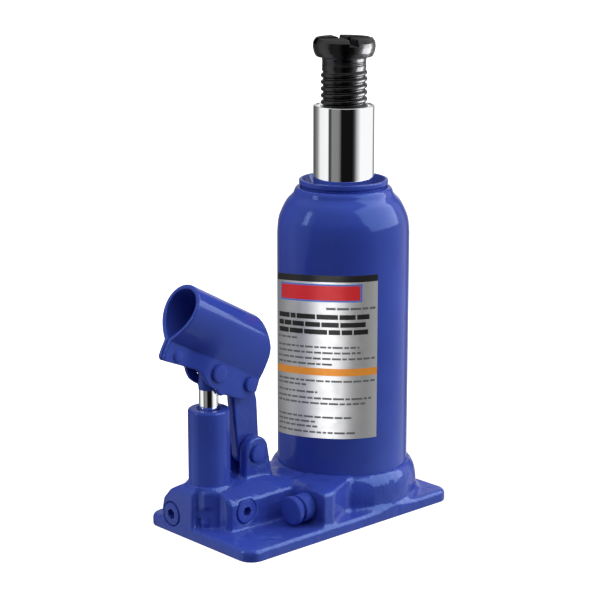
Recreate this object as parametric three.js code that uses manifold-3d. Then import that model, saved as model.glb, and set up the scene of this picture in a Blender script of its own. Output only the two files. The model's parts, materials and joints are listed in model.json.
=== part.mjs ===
// Two-ton class hydraulic bottle jack, standing on its base plate.
// Units are millimetres.  The origin is on the ground under the ram's axis, +Z is up,
// -X points from the bottle to the pump and the handle socket's open mouth.
import * as THREE from 'three';
import { mergeVertices } from 'three/addons/utils/BufferGeometryUtils.js';
import Module from 'manifold-3d';

const wasm = await Module();
wasm.setup();

// ---------------------------------------------------------------- driving dimensions
const GAP = 0.3;                       // air between pieces that touch on the real jack
const ROUND = 36;                      // sides of the large round pieces
const HIDDEN = 20;                     // sides of the rings and seals inside
const SMALL = 16;                      // sides of the small round pieces

const PLATE = { left: -87.3, right: 36.3, half: 35.4, corner: 6.6, wall: 3.2, edge: 2.3 };
const PLATE_TOP = PLATE.wall + PLATE.edge;

const BOTTLE_R = 30;
const BOTTLE_WALL = 2.5;
const BOSS_R = 34.4;                   // cast ring round the bottle's foot
const BOSS_TOP = 21;
const FLOOR_Z = 15;                    // floor of the oil reservoir
const SHOULDER_Z = 127;                // where the bottle starts to close in
const NECK_TOP = 148.3;

const NUT_R = 20.1;
const NUT_TOP = 151.8;
const NUT_WAIST = 19.4;               // radius below the cup's rim

const CYLINDER_R = 20.5;
const CYLINDER_BORE = 15.8;
const CYLINDER_FOOT = 8;

const RAM_R = 13.74;
const RAM_TOP = 185;
const RAM_FOOT = 58;
const RAM_SPIGOT = 44.5;

const SCREW_R = 10.4;
const SCREW_ROOT = 9.4;
const SCREW_PITCH = 3;
const SCREW_HEAD_Z = 206.6;            // underside of the saddle head
const SCREW_LENGTH = 75;
const SCREW_NECK = 5;                  // plain length under the head
const HEAD_HEIGHT = 8.3;
const HEAD_R = 14;
const SLOT_WIDTH = 4.3;
const SLOT_DEPTH = 3;
const SLOT_ANGLE = 65;                 // degrees from +X, seen from above

const PUMP = { x: -74.7, y: 6.5 };     // axis of the hand pump; y is the linkage's middle plane
const PUMP_R = 9.3;
const PUMP_TOP = 58;
const PLUNGER_R = 4.35;
const DECK_Z = 24;                     // cast deck that carries the pump

const PIN_PLUNGER = { x: -74.7, z: 75.1, r: 2.5, head: 3.9 };
const PIN_UPPER = { x: -56.9, z: 66.7, r: 2.3, head: 3.3 };
const PIN_LOWER = { x: -53.8, z: 34.1, r: 2.75, head: 4 };

const SOCKET = { x: -90.1, z: 106.2, tilt: 28.3, radius: 9.5, sheet: 2 };
const FLANGE_HALF = 7;                 // outside half width of the flanges at the pins
const EAR_HALF = 8;                    // outside half width of the cast ears
const EAR_THICK = 5.1;
const LINK_HALF = 2.5;

const VALVE = { y: -23, z: 12.8, wall: -43 };
const SUCTION = { y: 18.5, z: 8.6 };   // plugged bore of the suction valve, along X
const PORT_X = -15;                    // oil inlet in the reservoir's floor
const DELIVERY = { x: -69.2, z: 13.6 };// plugged bore of the delivery valve, along Y
const SAFETY = { x: -45, z: 11.5 };    // plugged bore of the safety valve, along Y
const BORE_R = 3.9;
const PLUG_HEAD_R = 5.6;

const LABEL = { low: 38.6, high: 113.6, from: 147.6, to: 257 };
const FILLER_Z = 112;

// ---------------------------------------------------------------- colours and finishes
const finish = (color, roughness, metalness) => ({ color, roughness, metalness });
const BLUE_PAINT = finish(0x1c2f9c, 0.3, 0);
const CHROME = finish(0xd8dadc, 0.08, 1);
const BLACK_OXIDE = finish(0x141416, 0.35, 0.6);
const STEEL = finish(0x9a9c9f, 0.35, 1);
const COPPER = finish(0xb4704a, 0.4, 1);
const RUBBER = finish(0x151515, 0.8, 0);
const PAPER = finish(0xd9d9d6, 0.4, 0);
const BRASS = finish(0xb08d4a, 0.35, 1);

// ---------------------------------------------------------------- geometry helpers
const vec = (x, y, z) => new THREE.Vector3(x, y, z);
const radians = THREE.MathUtils.degToRad;

// A closed solid from any closed three.js geometry, with its faces pointing out.
function solid(geometry) {
  const bare = geometry.clone();
  bare.deleteAttribute('normal');
  bare.deleteAttribute('uv');
  const merged = mergeVertices(bare, 1e-4);
  const position = merged.getAttribute('position');
  const corners = merged.getIndex().array;
  const triangles = [];
  for (let i = 0; i < corners.length; i += 3) {
    const [a, b, c] = corners.slice(i, i + 3);
    if (a !== b && b !== c && c !== a) triangles.push([a, b, c]);
  }
  const point = (i) => new THREE.Vector3().fromBufferAttribute(position, i);
  const volume = triangles.reduce((sum, [a, b, c]) => sum + point(a).dot(point(b).cross(point(c))), 0);
  const outward = volume < 0 ? triangles.map(([a, b, c]) => [a, c, b]) : triangles;
  const mesh = new wasm.Mesh({
    numProp: 3,
    vertProperties: new Float32Array(position.array),
    triVerts: new Uint32Array(outward.flat()),
  });
  return new wasm.Manifold(mesh);
}

function geometryOf(body) {
  const mesh = body.getMesh();
  const geometry = new THREE.BufferGeometry();
  geometry.setAttribute('position', new THREE.BufferAttribute(new Float32Array(mesh.vertProperties), 3));
  geometry.setIndex(new THREE.BufferAttribute(new Uint32Array(mesh.triVerts), 1));
  geometry.computeVertexNormals();
  return geometry;
}

const join = (...bodies) => bodies.reduce((sum, body) => sum.add(body));
const cut = (body, ...tools) => tools.reduce((left, tool) => left.subtract(tool), body);

// Turned shape: [radius, height] points about a vertical axis.
function turned(points, sides = ROUND) {
  const profile = points.map(([r, z]) => new THREE.Vector2(r, z));
  return solid(new THREE.LatheGeometry(profile, sides).rotateX(Math.PI / 2));
}

function ring(inner, outer, low, high, sides = HIDDEN) {
  return turned([[inner, low], [outer, low], [outer, high], [inner, high], [inner, low]], sides);
}

// Turned shape about the line from one point towards another; heights count from the first.
function turnedAlong(points, from, towards, sides = SMALL) {
  const turn = new THREE.Quaternion();
  turn.setFromUnitVectors(vec(0, 0, 1), towards.clone().sub(from).normalize());
  const place = new THREE.Matrix4().compose(from, turn, vec(1, 1, 1));
  return turned(points, sides).transform(place.toArray());
}

function rod(radius, from, to, sides = SMALL) {
  const length = from.distanceTo(to);
  return turnedAlong([[0, 0], [radius, 0], [radius, length], [0, length]], from, to, sides);
}

// Prism: a flat shape swept between two levels of the axis it does not lie in.
const PLANES = {
  XY: new THREE.Matrix4().makeBasis(vec(1, 0, 0), vec(0, 1, 0), vec(0, 0, 1)),
  YZ: new THREE.Matrix4().makeBasis(vec(0, 1, 0), vec(0, 0, 1), vec(1, 0, 0)),
  XZ: new THREE.Matrix4().makeBasis(vec(1, 0, 0), vec(0, 0, 1), vec(0, -1, 0)),
};

function prism(plane, shape, low, high, bevel = {}) {
  const options = { depth: high - low, bevelEnabled: false, curveSegments: 8, ...bevel };
  const start = plane === 'XZ' ? -high : low;
  const geometry = new THREE.ExtrudeGeometry(shape, options).translate(0, 0, start);
  return solid(geometry.applyMatrix4(PLANES[plane]));
}

const outline = (points) => new THREE.Shape(points.map(([x, y]) => new THREE.Vector2(x, y)));

function box(low, high) {
  const size = vec(...high).sub(vec(...low));
  const middle = vec(...high).add(vec(...low)).multiplyScalar(0.5);
  return solid(new THREE.BoxGeometry(size.x, size.y, size.z).translate(middle.x, middle.y, middle.z));
}

function ball(radius, at) {
  return solid(new THREE.SphereGeometry(radius, 10, 7).translate(at.x, at.y, at.z));
}

// Coil spring of round wire between two points.
class Helix extends THREE.Curve {
  constructor(radius, from, to, turns) {
    super();
    this.radius = radius;
    this.from = from;
    this.turns = turns;
    this.along = to.clone().sub(from);
    this.turn = new THREE.Quaternion().setFromUnitVectors(vec(0, 0, 1), this.along.clone().normalize());
  }

  getPoint(t, target = new THREE.Vector3()) {
    const angle = 2 * Math.PI * this.turns * t;
    target.set(Math.cos(angle), Math.sin(angle), 0).multiplyScalar(this.radius);
    return target.applyQuaternion(this.turn).add(this.from).addScaledVector(this.along, t);
  }
}

function spring(radius, wire, from, to, turns) {
  const stepsPerTurn = 8;
  const corners = 4;
  const path = new Helix(radius, from, to, turns);
  const section = new THREE.Shape(
    Array.from({ length: corners }, (_, i) => i * 2 * Math.PI / corners)
      .map((angle) => new THREE.Vector2(wire * Math.cos(angle), wire * Math.sin(angle))),
  );
  const options = { steps: stepsPerTurn * turns, bevelEnabled: false, extrudePath: path };
  return solid(new THREE.ExtrudeGeometry(section, options));
}

// ---------------------------------------------------------------- assembly
const jack = new THREE.Group();

function add(name, body, look, parent = jack) {
  const material = new THREE.MeshStandardMaterial(look);
  const mesh = new THREE.Mesh(geometryOf(body), material);
  mesh.name = name;
  parent.add(mesh);
  return mesh;
}

// ---------------------------------------------------------------- base casting
function basePlate() {
  const { left, right, half, corner, wall, edge } = PLATE;
  const x0 = left + edge;
  const x1 = right - edge;
  const y1 = half - edge;
  const r = corner - edge;
  const shape = new THREE.Shape();
  shape.absarc(x1 - r, y1 - r, r, 0, Math.PI / 2, false);
  shape.absarc(x0 + r, y1 - r, r, Math.PI / 2, Math.PI, false);
  shape.absarc(x0 + r, r - y1, r, Math.PI, 1.5 * Math.PI, false);
  shape.absarc(x1 - r, r - y1, r, 1.5 * Math.PI, 2 * Math.PI, false);
  const rim = { bevelEnabled: true, bevelThickness: edge, bevelSize: edge, bevelSegments: 3 };
  rim.curveSegments = 5;
  const slab = prism('XY', shape, 0, wall, rim);
  return cut(slab, box([left - 1, -half - 1, -edge - 1], [right + 1, half + 1, 0]));
}

// Cast ring that the bottle stands in: a quarter ellipse up to the bottle's side.
function bottleBoss() {
  const steps = 5;
  const wide = BOSS_R - BOTTLE_R - GAP;
  const tall = BOSS_TOP - 9;
  const curve = Array.from({ length: steps + 1 }, (_, i) => (i / steps) * Math.PI / 2)
    .map((a) => [BOTTLE_R + GAP + wide * Math.cos(a), 9 + tall * Math.sin(a)]);
  return turned([[0, 3], [BOSS_R, 3], ...curve, [0, BOSS_TOP]]);
}

// Section of the pump block across the jack, the same from the pump to the bottle.
const BLOCK_SECTION = [
  [-12.5, 3], [26.5, 3], [26.5, 9], [24.6, 15], [20, 20], [14, 23.6], [10, DECK_Z],
  [2, DECK_Z], [-4, 23], [-9, 20.2], [-12, 18], [-12.5, 17],
];

function pumpBlock() {
  const long = prism('YZ', outline(BLOCK_SECTION), -87.6, -10);
  const side = outline([
    [-90, 2], [-90, 19.6], [-85.8, 22.6], [-82, DECK_Z + 1], [-58, DECK_Z + 1], [-44, 20.8],
    [-5, 19.6], [-5, 2],
  ]);
  const plan = outline([
    [-87.6, 3.4], [-87.6, 25], [-85.8, 26.5], [-5, 26.5], [-5, -12.5],
    [-75, -12.5], [-77.4, -11.4], [-78.4, -9], [-78.4, -5], [-84, -1], [-84, 3.4],
  ]);
  const block = long.intersect(prism('XZ', side, -40, 40)).intersect(prism('XY', plan, 0, 40));
  const pocket = box([-90, -5, PLATE_TOP], [-81, 3, 14.5]);
  const collar = rod(PUMP_R + 0.7, vec(PUMP.x, PUMP.y, 16), vec(PUMP.x, PUMP.y, DECK_Z), ROUND);
  return join(cut(block, pocket), collar);
}

function valveHousing() {
  const plan = outline([
    [VALVE.wall, -34], [-38, -34.2], [-22, -26.5], [-10, -20], [-10, -8], [VALVE.wall, -8],
  ]);
  const section = outline([[-34.3, 3], [-34.3, 19], [-33, 20.4], [-30.5, 20.9], [0, 20.6], [0, 3]]);
  return prism('XY', plan, 3, 22).intersect(prism('YZ', section, -50, 0));
}

// Two cast ears that hold the foot of the link.
function ears() {
  const { x, z } = PIN_LOWER;
  const radius = 6.6;
  const crown = z + 1.2;
  const shape = new THREE.Shape();
  shape.moveTo(x - radius - 0.3, 18);
  shape.absarc(x + 0.3, crown, radius, Math.PI, 0, true);
  shape.lineTo(x + radius + 2, 26);
  shape.lineTo(x + radius + 5, 18);
  const near = prism('XZ', shape, PUMP.y - EAR_HALF, PUMP.y - EAR_HALF + EAR_THICK);
  const far = prism('XZ', shape, PUMP.y + EAR_HALF - EAR_THICK, PUMP.y + EAR_HALF);
  const eye = rod(PIN_LOWER.r + GAP, vec(x, PUMP.y - 20, z), vec(x, PUMP.y + 20, z));
  return cut(join(near, far), eye);
}

// Bores and drilled oil passages, all open to the outside or to each other.
function baseBores() {
  const passage = (from, to, r = 1.4) => rod(r, from, to, 8);
  const at = (z) => vec(PUMP.x, PUMP.y, z);
  const reservoir = rod(BOTTLE_R + GAP, vec(0, 0, FLOOR_Z), vec(0, 0, 60), ROUND);
  const cylinderSeat = rod(CYLINDER_R + GAP, vec(0, 0, CYLINDER_FOOT), vec(0, 0, FLOOR_Z + 1), ROUND);
  const pumpSeat = rod(7.7, at(15.6), at(40), ROUND);
  const pumpChamber = rod(4.4, at(11), at(16), ROUND);
  const suction = rod(BORE_R, vec(-95, SUCTION.y, SUCTION.z), vec(-69.4, SUCTION.y, SUCTION.z));
  const suctionMouth = rod(PLUG_HEAD_R, vec(-95, SUCTION.y, SUCTION.z), vec(-85.5, SUCTION.y, SUCTION.z));
  const delivery = rod(BORE_R, vec(DELIVERY.x, -20, DELIVERY.z), vec(DELIVERY.x, -1.5, DELIVERY.z));
  const deliveryFace = vec(DELIVERY.x, -10.8, DELIVERY.z);
  const deliveryMouth = rod(PLUG_HEAD_R, vec(DELIVERY.x, -20, DELIVERY.z), deliveryFace);
  const safety = rod(BORE_R, vec(SAFETY.x, 40, SAFETY.z), vec(SAFETY.x, 11.8, SAFETY.z));
  const valve = rod(4.2, vec(-60, VALVE.y, VALVE.z), vec(-24.5, VALVE.y, VALVE.z));
  return [
    reservoir, cylinderSeat, pumpSeat, pumpChamber,
    suction, suctionMouth, delivery, deliveryMouth, safety, valve,
    passage(vec(-76, SUCTION.y, 11), vec(PUMP.x, PUMP.y, 12.5)),
    passage(vec(-70, SUCTION.y, SUCTION.z), vec(PORT_X, SUCTION.y, SUCTION.z)),
    passage(vec(PORT_X, SUCTION.y, SUCTION.z), vec(PORT_X, SUCTION.y, FLOOR_Z + 1)),
    passage(vec(DELIVERY.x, -5, DELIVERY.z), vec(PUMP.x + 2, PUMP.y - 2, DELIVERY.z)),
    passage(vec(DELIVERY.x + 3, -6, DELIVERY.z - 1), vec(-8, -4, 6.2)),
    passage(vec(-26, VALVE.y, VALVE.z), vec(-6, -5, 6.2)),
    passage(vec(-8, -4.5, 6), vec(-8, -4.5, CYLINDER_FOOT + 1), 2),
    passage(vec(SAFETY.x, 12, SAFETY.z), vec(SAFETY.x, -4, 10)),
  ];
}

function baseGroup() {
  const casting = join(basePlate(), bottleBoss(), pumpBlock(), valveHousing(), ears());
  add('base_casting', cut(casting, ...baseBores()), BLUE_PAINT);
}

// ---------------------------------------------------------------- bottle
// Outside of the necked shoulder, from the straight side up to the neck's bead.
const SHOULDER = [[30, SHOULDER_Z], [29.4, 133.6], [28, 137.7], [25.8, 141.9], [23.4, 144.4], [22.6, 145.5]];

function bottleGroup() {
  const inner = BOTTLE_R - BOTTLE_WALL;
  const foot = FLOOR_Z + 1.6;
  const wall = [
    [inner, foot], [BOTTLE_R, foot], ...SHOULDER, [21.3, NECK_TOP], [NUT_R + GAP, NECK_TOP],
    [NUT_R + GAP, 145.2], [17.5, 145.2], [17.5, 142.8], [21.2, 142.3], [25.2, 137],
    [inner, SHOULDER_Z], [inner, foot],
  ];
  const fillerHole = rod(5.2, vec(0, 20, FILLER_Z), vec(0, 40, FILLER_Z));
  add('reservoir_tube', cut(turned(wall), fillerHole), BLUE_PAINT);
  add('reservoir_bottom_gasket', ring(inner + 0.2, BOTTLE_R - 0.2, FLOOR_Z + GAP, foot - GAP), COPPER);
  add('reservoir_top_gasket', ring(17.8, NUT_WAIST - 0.2, 145.5, 146.3), RUBBER);
  add('top_nut', topNut(), BLUE_PAINT);
  add('ram_wiper', ring(RAM_R + 0.15, 16, 146.5, 147.6, ROUND), RUBBER);
  const tubeFoot = CYLINDER_FOOT + 1.5;
  const tubeTop = 141.8;
  const counterbore = 126;
  const thread = 17.5;
  const tube = [
    [CYLINDER_BORE, tubeFoot], [CYLINDER_R, tubeFoot], [CYLINDER_R, tubeTop], [thread, tubeTop],
    [thread, counterbore], [CYLINDER_BORE, counterbore], [CYLINDER_BORE, tubeFoot],
  ];
  add('pressure_cylinder', turned(tube), STEEL);
  const gasket = ring(CYLINDER_BORE + 0.4, CYLINDER_R - 0.2, CYLINDER_FOOT + GAP, tubeFoot - GAP);
  add('cylinder_gasket', gasket, COPPER);
  add('filler_plug', fillerPlug(), RUBBER);
  add('label', labelSheet(), PAPER);
}

// Gland nut: threaded skirt down into the pressure cylinder, cup-shaped top round the ram.
function topNut() {
  const bore = RAM_R + 0.35;
  const profile = [
    [bore, 126.6], [17.2, 126.6], [17.2, 146.6], [NUT_WAIST, 146.6], [NUT_WAIST, 149], [NUT_R, 149.7],
    [NUT_R, NUT_TOP - 0.4], [NUT_R - 0.4, NUT_TOP], [18.9, NUT_TOP], [18.4, 151.2], [16.9, 148.2], [16.3, 147.6],
    [16.3, 146.2], [bore, 146.2], [bore, 126.6],
  ];
  return turned(profile);
}

function fillerPlug() {
  const profile = [[0, 0], [4.9, 0], [4.9, 3.4], [6.8, 3.6], [6.8, 4.6], [5.4, 5.6], [0, 5.6]];
  return turnedAlong(profile, vec(0, 27.2, FILLER_Z), vec(0, 40, FILLER_Z));
}

function labelSheet() {
  const from = radians(LABEL.from);
  const to = radians(LABEL.to);
  const inner = BOTTLE_R + 0.3;
  const shape = new THREE.Shape();
  shape.absarc(0, 0, inner + 0.25, from, to, false);
  shape.absarc(0, 0, inner, to, from, true);
  return prism('XY', shape, LABEL.low, LABEL.high, { curveSegments: 14 });
}

// ---------------------------------------------------------------- ram and extension screw
function ramGroup() {
  const mouth = 10.7;
  const store = 11.7;
  const lip = RAM_R - 0.6;
  const shoulder = RAM_TOP - 16;
  const profile = [
    [0, RAM_SPIGOT], [8.5, RAM_SPIGOT], [9, RAM_SPIGOT + 0.5], [9, RAM_FOOT], [RAM_R, RAM_FOOT],
    [RAM_R, RAM_TOP - 0.4], [RAM_R - 0.3, RAM_TOP], [lip, RAM_TOP], [mouth, RAM_TOP - 1.6],
    [mouth, shoulder], [store, shoulder], [store, 104], [0, 100],
  ];
  add('ram', turned(profile), CHROME);
  add('piston_head', ring(9.2, 15.55, 50, RAM_FOOT - GAP), BRASS);
  add('piston_seal', ring(9.2, 15.6, 46.9, 49.7), RUBBER);
  add('piston_retaining_ring', ring(9.2, 12, 45.2, 46.6), STEEL);
}

// Round bar whose surface carries a helical ridge between two heights.
function threadedBar(low, high) {
  const sides = 12;
  const rows = Math.round((high - low) / SCREW_PITCH) * 3;
  const ridge = (turns) => {
    const phase = turns - Math.floor(turns);
    return 1 - Math.abs(2 * phase - 1);
  };
  const positions = [];
  const indices = [];
  const corner = (row, side) => row * sides + (side % sides);
  for (let row = 0; row <= rows; row += 1) {
    const z = low + (high - low) * row / rows;
    const plain = row === 0 || row === rows;
    for (let side = 0; side < sides; side += 1) {
      const turn = side / sides;
      const height = plain ? 0.5 : ridge((z - low) / SCREW_PITCH - turn);
      const r = SCREW_ROOT + (SCREW_R - SCREW_ROOT) * height;
      positions.push(r * Math.cos(2 * Math.PI * turn), r * Math.sin(2 * Math.PI * turn), z);
    }
  }
  for (let row = 0; row < rows; row += 1) {
    for (let side = 0; side < sides; side += 1) {
      const [a, b] = [corner(row, side), corner(row, side + 1)];
      const [c, d] = [corner(row + 1, side + 1), corner(row + 1, side)];
      indices.push(a, b, c, a, c, d);
    }
  }
  const bottom = positions.push(0, 0, low) / 3 - 1;
  const top = positions.push(0, 0, high) / 3 - 1;
  for (let side = 0; side < sides; side += 1) {
    indices.push(bottom, corner(0, side + 1), corner(0, side));
    indices.push(top, corner(rows, side), corner(rows, side + 1));
  }
  const geometry = new THREE.BufferGeometry();
  geometry.setAttribute('position', new THREE.Float32BufferAttribute(positions, 3));
  geometry.setIndex(indices);
  return solid(geometry);
}

function screwGroup() {
  const end = SCREW_HEAD_Z - SCREW_LENGTH;
  const threadTop = SCREW_HEAD_Z - SCREW_NECK;
  const threadLow = threadTop - 14 * SCREW_PITCH;
  const top = SCREW_HEAD_Z + HEAD_HEIGHT;
  const tail = 3;
  const bar = 9.5;
  const lap = 0.4;
  const shank = turned([
    [0, end], [8, end], [8, end + tail], [bar, end + tail], [bar, threadLow + lap], [0, threadLow + lap],
  ]);
  const neck = rod(bar + 0.4, vec(0, 0, threadTop - lap), vec(0, 0, SCREW_HEAD_Z + 1), ROUND);
  const head = turned([
    [0, SCREW_HEAD_Z], [HEAD_R - 1.3, SCREW_HEAD_Z], [HEAD_R - 0.3, SCREW_HEAD_Z + 2.2],
    [HEAD_R, SCREW_HEAD_Z + 4.2], [HEAD_R - 0.2, SCREW_HEAD_Z + 6.4], [HEAD_R - 0.8, top], [0, top],
  ]);
  const slots = [0, 90].map((turn) => {
    const half = SLOT_WIDTH / 2;
    const groove = box([-HEAD_R - 2, -half, top - SLOT_DEPTH], [HEAD_R + 2, half, top + 1]);
    return groove.rotate([0, 0, SLOT_ANGLE + turn]);
  });
  const screw = join(shank, threadedBar(threadLow, threadTop), neck, head);
  add('extension_screw', cut(screw, ...slots), BLACK_OXIDE);
  add('screw_stop_ring', ring(8.2, 11.3, end + 0.6, end + 2.4), STEEL);
}

// ---------------------------------------------------------------- hand pump
function pumpGroup() {
  const axis = new THREE.Group();
  axis.position.set(PUMP.x, PUMP.y, 0);
  jack.add(axis);
  const bore = PLUNGER_R + 0.3;
  const barrel = [
    [bore, 16.9], [7.4, 16.9], [7.4, DECK_Z + GAP], [PUMP_R, DECK_Z + GAP], [PUMP_R, PUMP_TOP - 1.4],
    [PUMP_R - 0.4, PUMP_TOP - 0.4], [PUMP_R - 1.4, PUMP_TOP], [bore, PUMP_TOP], [bore, 53.5], [6, 53.5],
    [6, 50.5], [bore, 50.5], [bore, 16.9],
  ];
  add('pump_cylinder', turned(barrel, 28), BLUE_PAINT, axis);
  add('pump_cup_seal', ring(bore - 0.15, 5.8, 50.8, 53.2), RUBBER, axis);
  add('pump_washer', ring(bore + 0.3, 7.2, 15.9, 16.6), COPPER, axis);
  const top = PIN_PLUNGER.z + 5.2;
  const plunger = turned([
    [0, 26], [PLUNGER_R - 0.5, 26], [PLUNGER_R, 26.5], [PLUNGER_R, 29], [3.2, 29], [3.2, 31], [PLUNGER_R, 31],
    [PLUNGER_R, 67.4], [4.3, 67.8], [4.3, top - 1.5], [2.8, top], [0, top],
  ], 24);
  const eye = rod(PIN_PLUNGER.r + 0.2, vec(0, -9, PIN_PLUNGER.z), vec(0, 9, PIN_PLUNGER.z));
  add('pump_plunger', cut(plunger, eye), CHROME, axis);
  add('plunger_seal', ring(3.35, 4.25, 29.3, 30.7), RUBBER, axis);
}

// ---------------------------------------------------------------- handle socket
// Its own frame: x runs along the bore from the mouth, z is up out of the bore, y is across.
const SOCKET_PIN = [PIN_PLUNGER, PIN_UPPER].map(({ x, z }) => {
  const along = vec(x - SOCKET.x, 0, z - SOCKET.z);
  return along.applyAxisAngle(vec(0, 1, 0), -radians(SOCKET.tilt));
});

// Half distance between the middles of the two flanges: pinched at the mouth, apart at the pins.
function flangeSpread(x) {
  const pinched = SOCKET.sheet / 2 + 0.2;
  const apart = FLANGE_HALF - SOCKET.sheet / 2;
  return pinched + (apart - pinched) * THREE.MathUtils.smoothstep(x, 10, 24);
}

// Middle line of the bent sheet, from the near flange's foot over the bore to the far one.
// Above its widest level the section is a half circle; below, it closes in along a parabola.
function sheetLine(x) {
  const spread = flangeSpread(x);
  const { radius } = SOCKET;
  const knee = -14.8;
  const foot = -32;
  const lower = [1, 0.75, 0.5, 0.25].map((t) => [spread + (radius - spread) * (1 - t * t), knee * t]);
  const steps = 9;
  const arc = Array.from({ length: steps + 1 }, (_, i) => (i / steps) * Math.PI)
    .map((angle) => [-radius * Math.cos(angle), radius * Math.sin(angle)]);
  const near = lower.map(([y, z]) => [-y, z]);
  return [[-spread, foot], ...near, ...arc, ...lower.reverse(), [spread, foot]];
}

// Closed outline of the sheet: the middle line moved half a thickness to either side.
function sheetOutline(x) {
  const line = sheetLine(x).map(([y, z]) => new THREE.Vector2(y, z));
  const shifted = (offset) => line.map((point, i) => {
    const before = line[Math.max(i - 1, 0)];
    const after = line[Math.min(i + 1, line.length - 1)];
    const first = i === 0 ? after.clone().sub(point) : point.clone().sub(before);
    const second = i === line.length - 1 ? first.clone() : after.clone().sub(point);
    const normal = first.normalize().add(second.normalize()).normalize();
    const stretch = 1 / Math.max(normal.dot(first), 0.5);
    return new THREE.Vector2(-normal.y, normal.x).multiplyScalar(offset * stretch).add(point);
  });
  return [...shifted(SOCKET.sheet / 2), ...shifted(-SOCKET.sheet / 2).reverse()];
}

function socketSheet() {
  const stations = [-6, 10, 14, 17, 20, 24, 60];
  const loops = stations.map(sheetOutline);
  const count = loops[0].length;
  const positions = loops.flatMap((loop, i) => loop.flatMap((p) => [stations[i], p.x, p.y]));
  const indices = [];
  for (let i = 0; i + 1 < stations.length; i += 1) {
    for (let j = 0; j < count; j += 1) {
      const [a, b] = [i * count + j, i * count + (j + 1) % count];
      indices.push(a, b, b + count, a, b + count, a + count);
    }
  }
  const last = (stations.length - 1) * count;
  for (let j = 0; j + 1 < count / 2; j += 1) {
    const [a, b, c, d] = [j, j + 1, count - 2 - j, count - 1 - j];
    indices.push(a, c, b, a, d, c);
    indices.push(last + a, last + b, last + c, last + a, last + c, last + d);
  }
  const geometry = new THREE.BufferGeometry();
  geometry.setAttribute('position', new THREE.Float32BufferAttribute(positions, 3));
  geometry.setIndex(indices);
  return solid(geometry);
}

// Side view of the trimmed sheet, in the socket's own frame.
function socketTrim() {
  const shape = outline([
    [0.9, 13], [0.7, 0], [0, -20], [0.3, -23], [1.6, -24.1], [10.8, -23.1], [17, -22.4], [19.6, -22.9],
    [22.4, -24.8], [25.1, -26.4], [28, -27], [31.2, -27.1], [32.4, -28.3], [34.4, -28.8], [36.6, -27.6],
    [42, -27.3], [46.9, -26.6], [51.6, -23.8], [53.4, -20.6], [52.6, -14], [51.2, -8], [50.4, -4],
    [49.2, -0.8], [45, 5.2], [42.6, 9.2], [40, 13],
  ]);
  return prism('XZ', shape, -20, 20);
}

function socketGroup() {
  const frame = new THREE.Group();
  frame.position.set(SOCKET.x, PUMP.y, SOCKET.z);
  frame.rotation.y = radians(SOCKET.tilt);
  jack.add(frame);
  const eyes = SOCKET_PIN.map((pin, i) => {
    const radius = [PIN_PLUNGER, PIN_UPPER][i].r + GAP;
    return rod(radius, vec(pin.x, -20, pin.z), vec(pin.x, 20, pin.z));
  });
  const rivetAt = vec(7.3, 0, -19.8);
  const rivetHole = rod(1.9, vec(rivetAt.x, -20, rivetAt.z), vec(rivetAt.x, 20, rivetAt.z), 12);
  add('handle_socket', cut(socketSheet().intersect(socketTrim()), ...eyes, rivetHole), BLUE_PAINT, frame);
  const reach = SOCKET.sheet + 0.2 + GAP;
  const rivet = turnedAlong([
    [0, 0], [2.2, 0], [2.9, 0.7], [2.9, 1.1], [1.6, 1.1], [1.6, 1.1 + 2 * reach], [2.9, 1.1 + 2 * reach],
    [2.9, 1.5 + 2 * reach], [2.2, 2.2 + 2 * reach], [0, 2.2 + 2 * reach],
  ], vec(rivetAt.x, -reach - 1.1, rivetAt.z), vec(rivetAt.x, 20, rivetAt.z), 16);
  add('socket_rivet', rivet, BLUE_PAINT, frame);
}

// ---------------------------------------------------------------- link and pins
// The upper eye is larger than its pin and set a little off it, so that the pin stays inside
// the eye over the whole pump stroke.
const UPPER_EYE = { x: PIN_UPPER.x - 0.43, z: PIN_UPPER.z + 0.22, r: PIN_UPPER.r + 0.9 };

function linkArm() {
  const { x: ux, z: uz } = PIN_UPPER;
  const { x: lx, z: lz } = PIN_LOWER;
  const shape = new THREE.Shape();
  shape.absarc(lx, lz, 6.3, radians(180), radians(355), false);
  shape.lineTo(-48.7, 57);
  shape.absarc(ux, uz, 6.2, radians(-15), radians(195), false);
  shape.lineTo(-62.4, 58.5);
  const bar = prism('XZ', shape, PUMP.y - LINK_HALF, PUMP.y + LINK_HALF);
  const boss = rod(5.4, vec(ux, PUMP.y - 4.5, uz), vec(ux, PUMP.y + 4.5, uz));
  const lowerEye = rod(PIN_LOWER.r + GAP, vec(lx, -20, lz), vec(lx, 30, lz));
  const upperEye = rod(UPPER_EYE.r, vec(UPPER_EYE.x, -20, UPPER_EYE.z), vec(UPPER_EYE.x, 30, UPPER_EYE.z));
  return cut(join(bar, boss), lowerEye, upperEye);
}

// Headed pin across the linkage, and the ring that keeps it in.
function headedPin(name, { x, z, r, head }, half) {
  const start = PUMP.y - half - GAP;
  const headThick = 1.6;
  const length = headThick + 2 * half + 2 * GAP + 1.7;
  const profile = [
    [0, 0], [head - 0.5, 0], [head, 0.5], [head, headThick],
    [r, headThick], [r, length - 0.4], [r - 0.4, length], [0, length],
  ];
  const from = vec(x, start - headThick, z);
  add(name, turnedAlong(profile, from, vec(x, 60, z)), BLUE_PAINT);
  const far = PUMP.y + half + GAP;
  const clip = [[r + 0.15, 0], [r + 1.9, 0], [r + 1.9, 1], [r + 0.15, 1], [r + 0.15, 0]];
  add(`${name}_clip`, turnedAlong(clip, vec(x, far, z), vec(x, 60, z)), STEEL);
}

function linkageGroup() {
  add('link_arm', linkArm(), BLUE_PAINT);
  headedPin('plunger_pin', PIN_PLUNGER, FLANGE_HALF);
  headedPin('link_upper_pin', PIN_UPPER, FLANGE_HALF);
  headedPin('link_lower_pin', PIN_LOWER, EAR_HALF);
}

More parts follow.
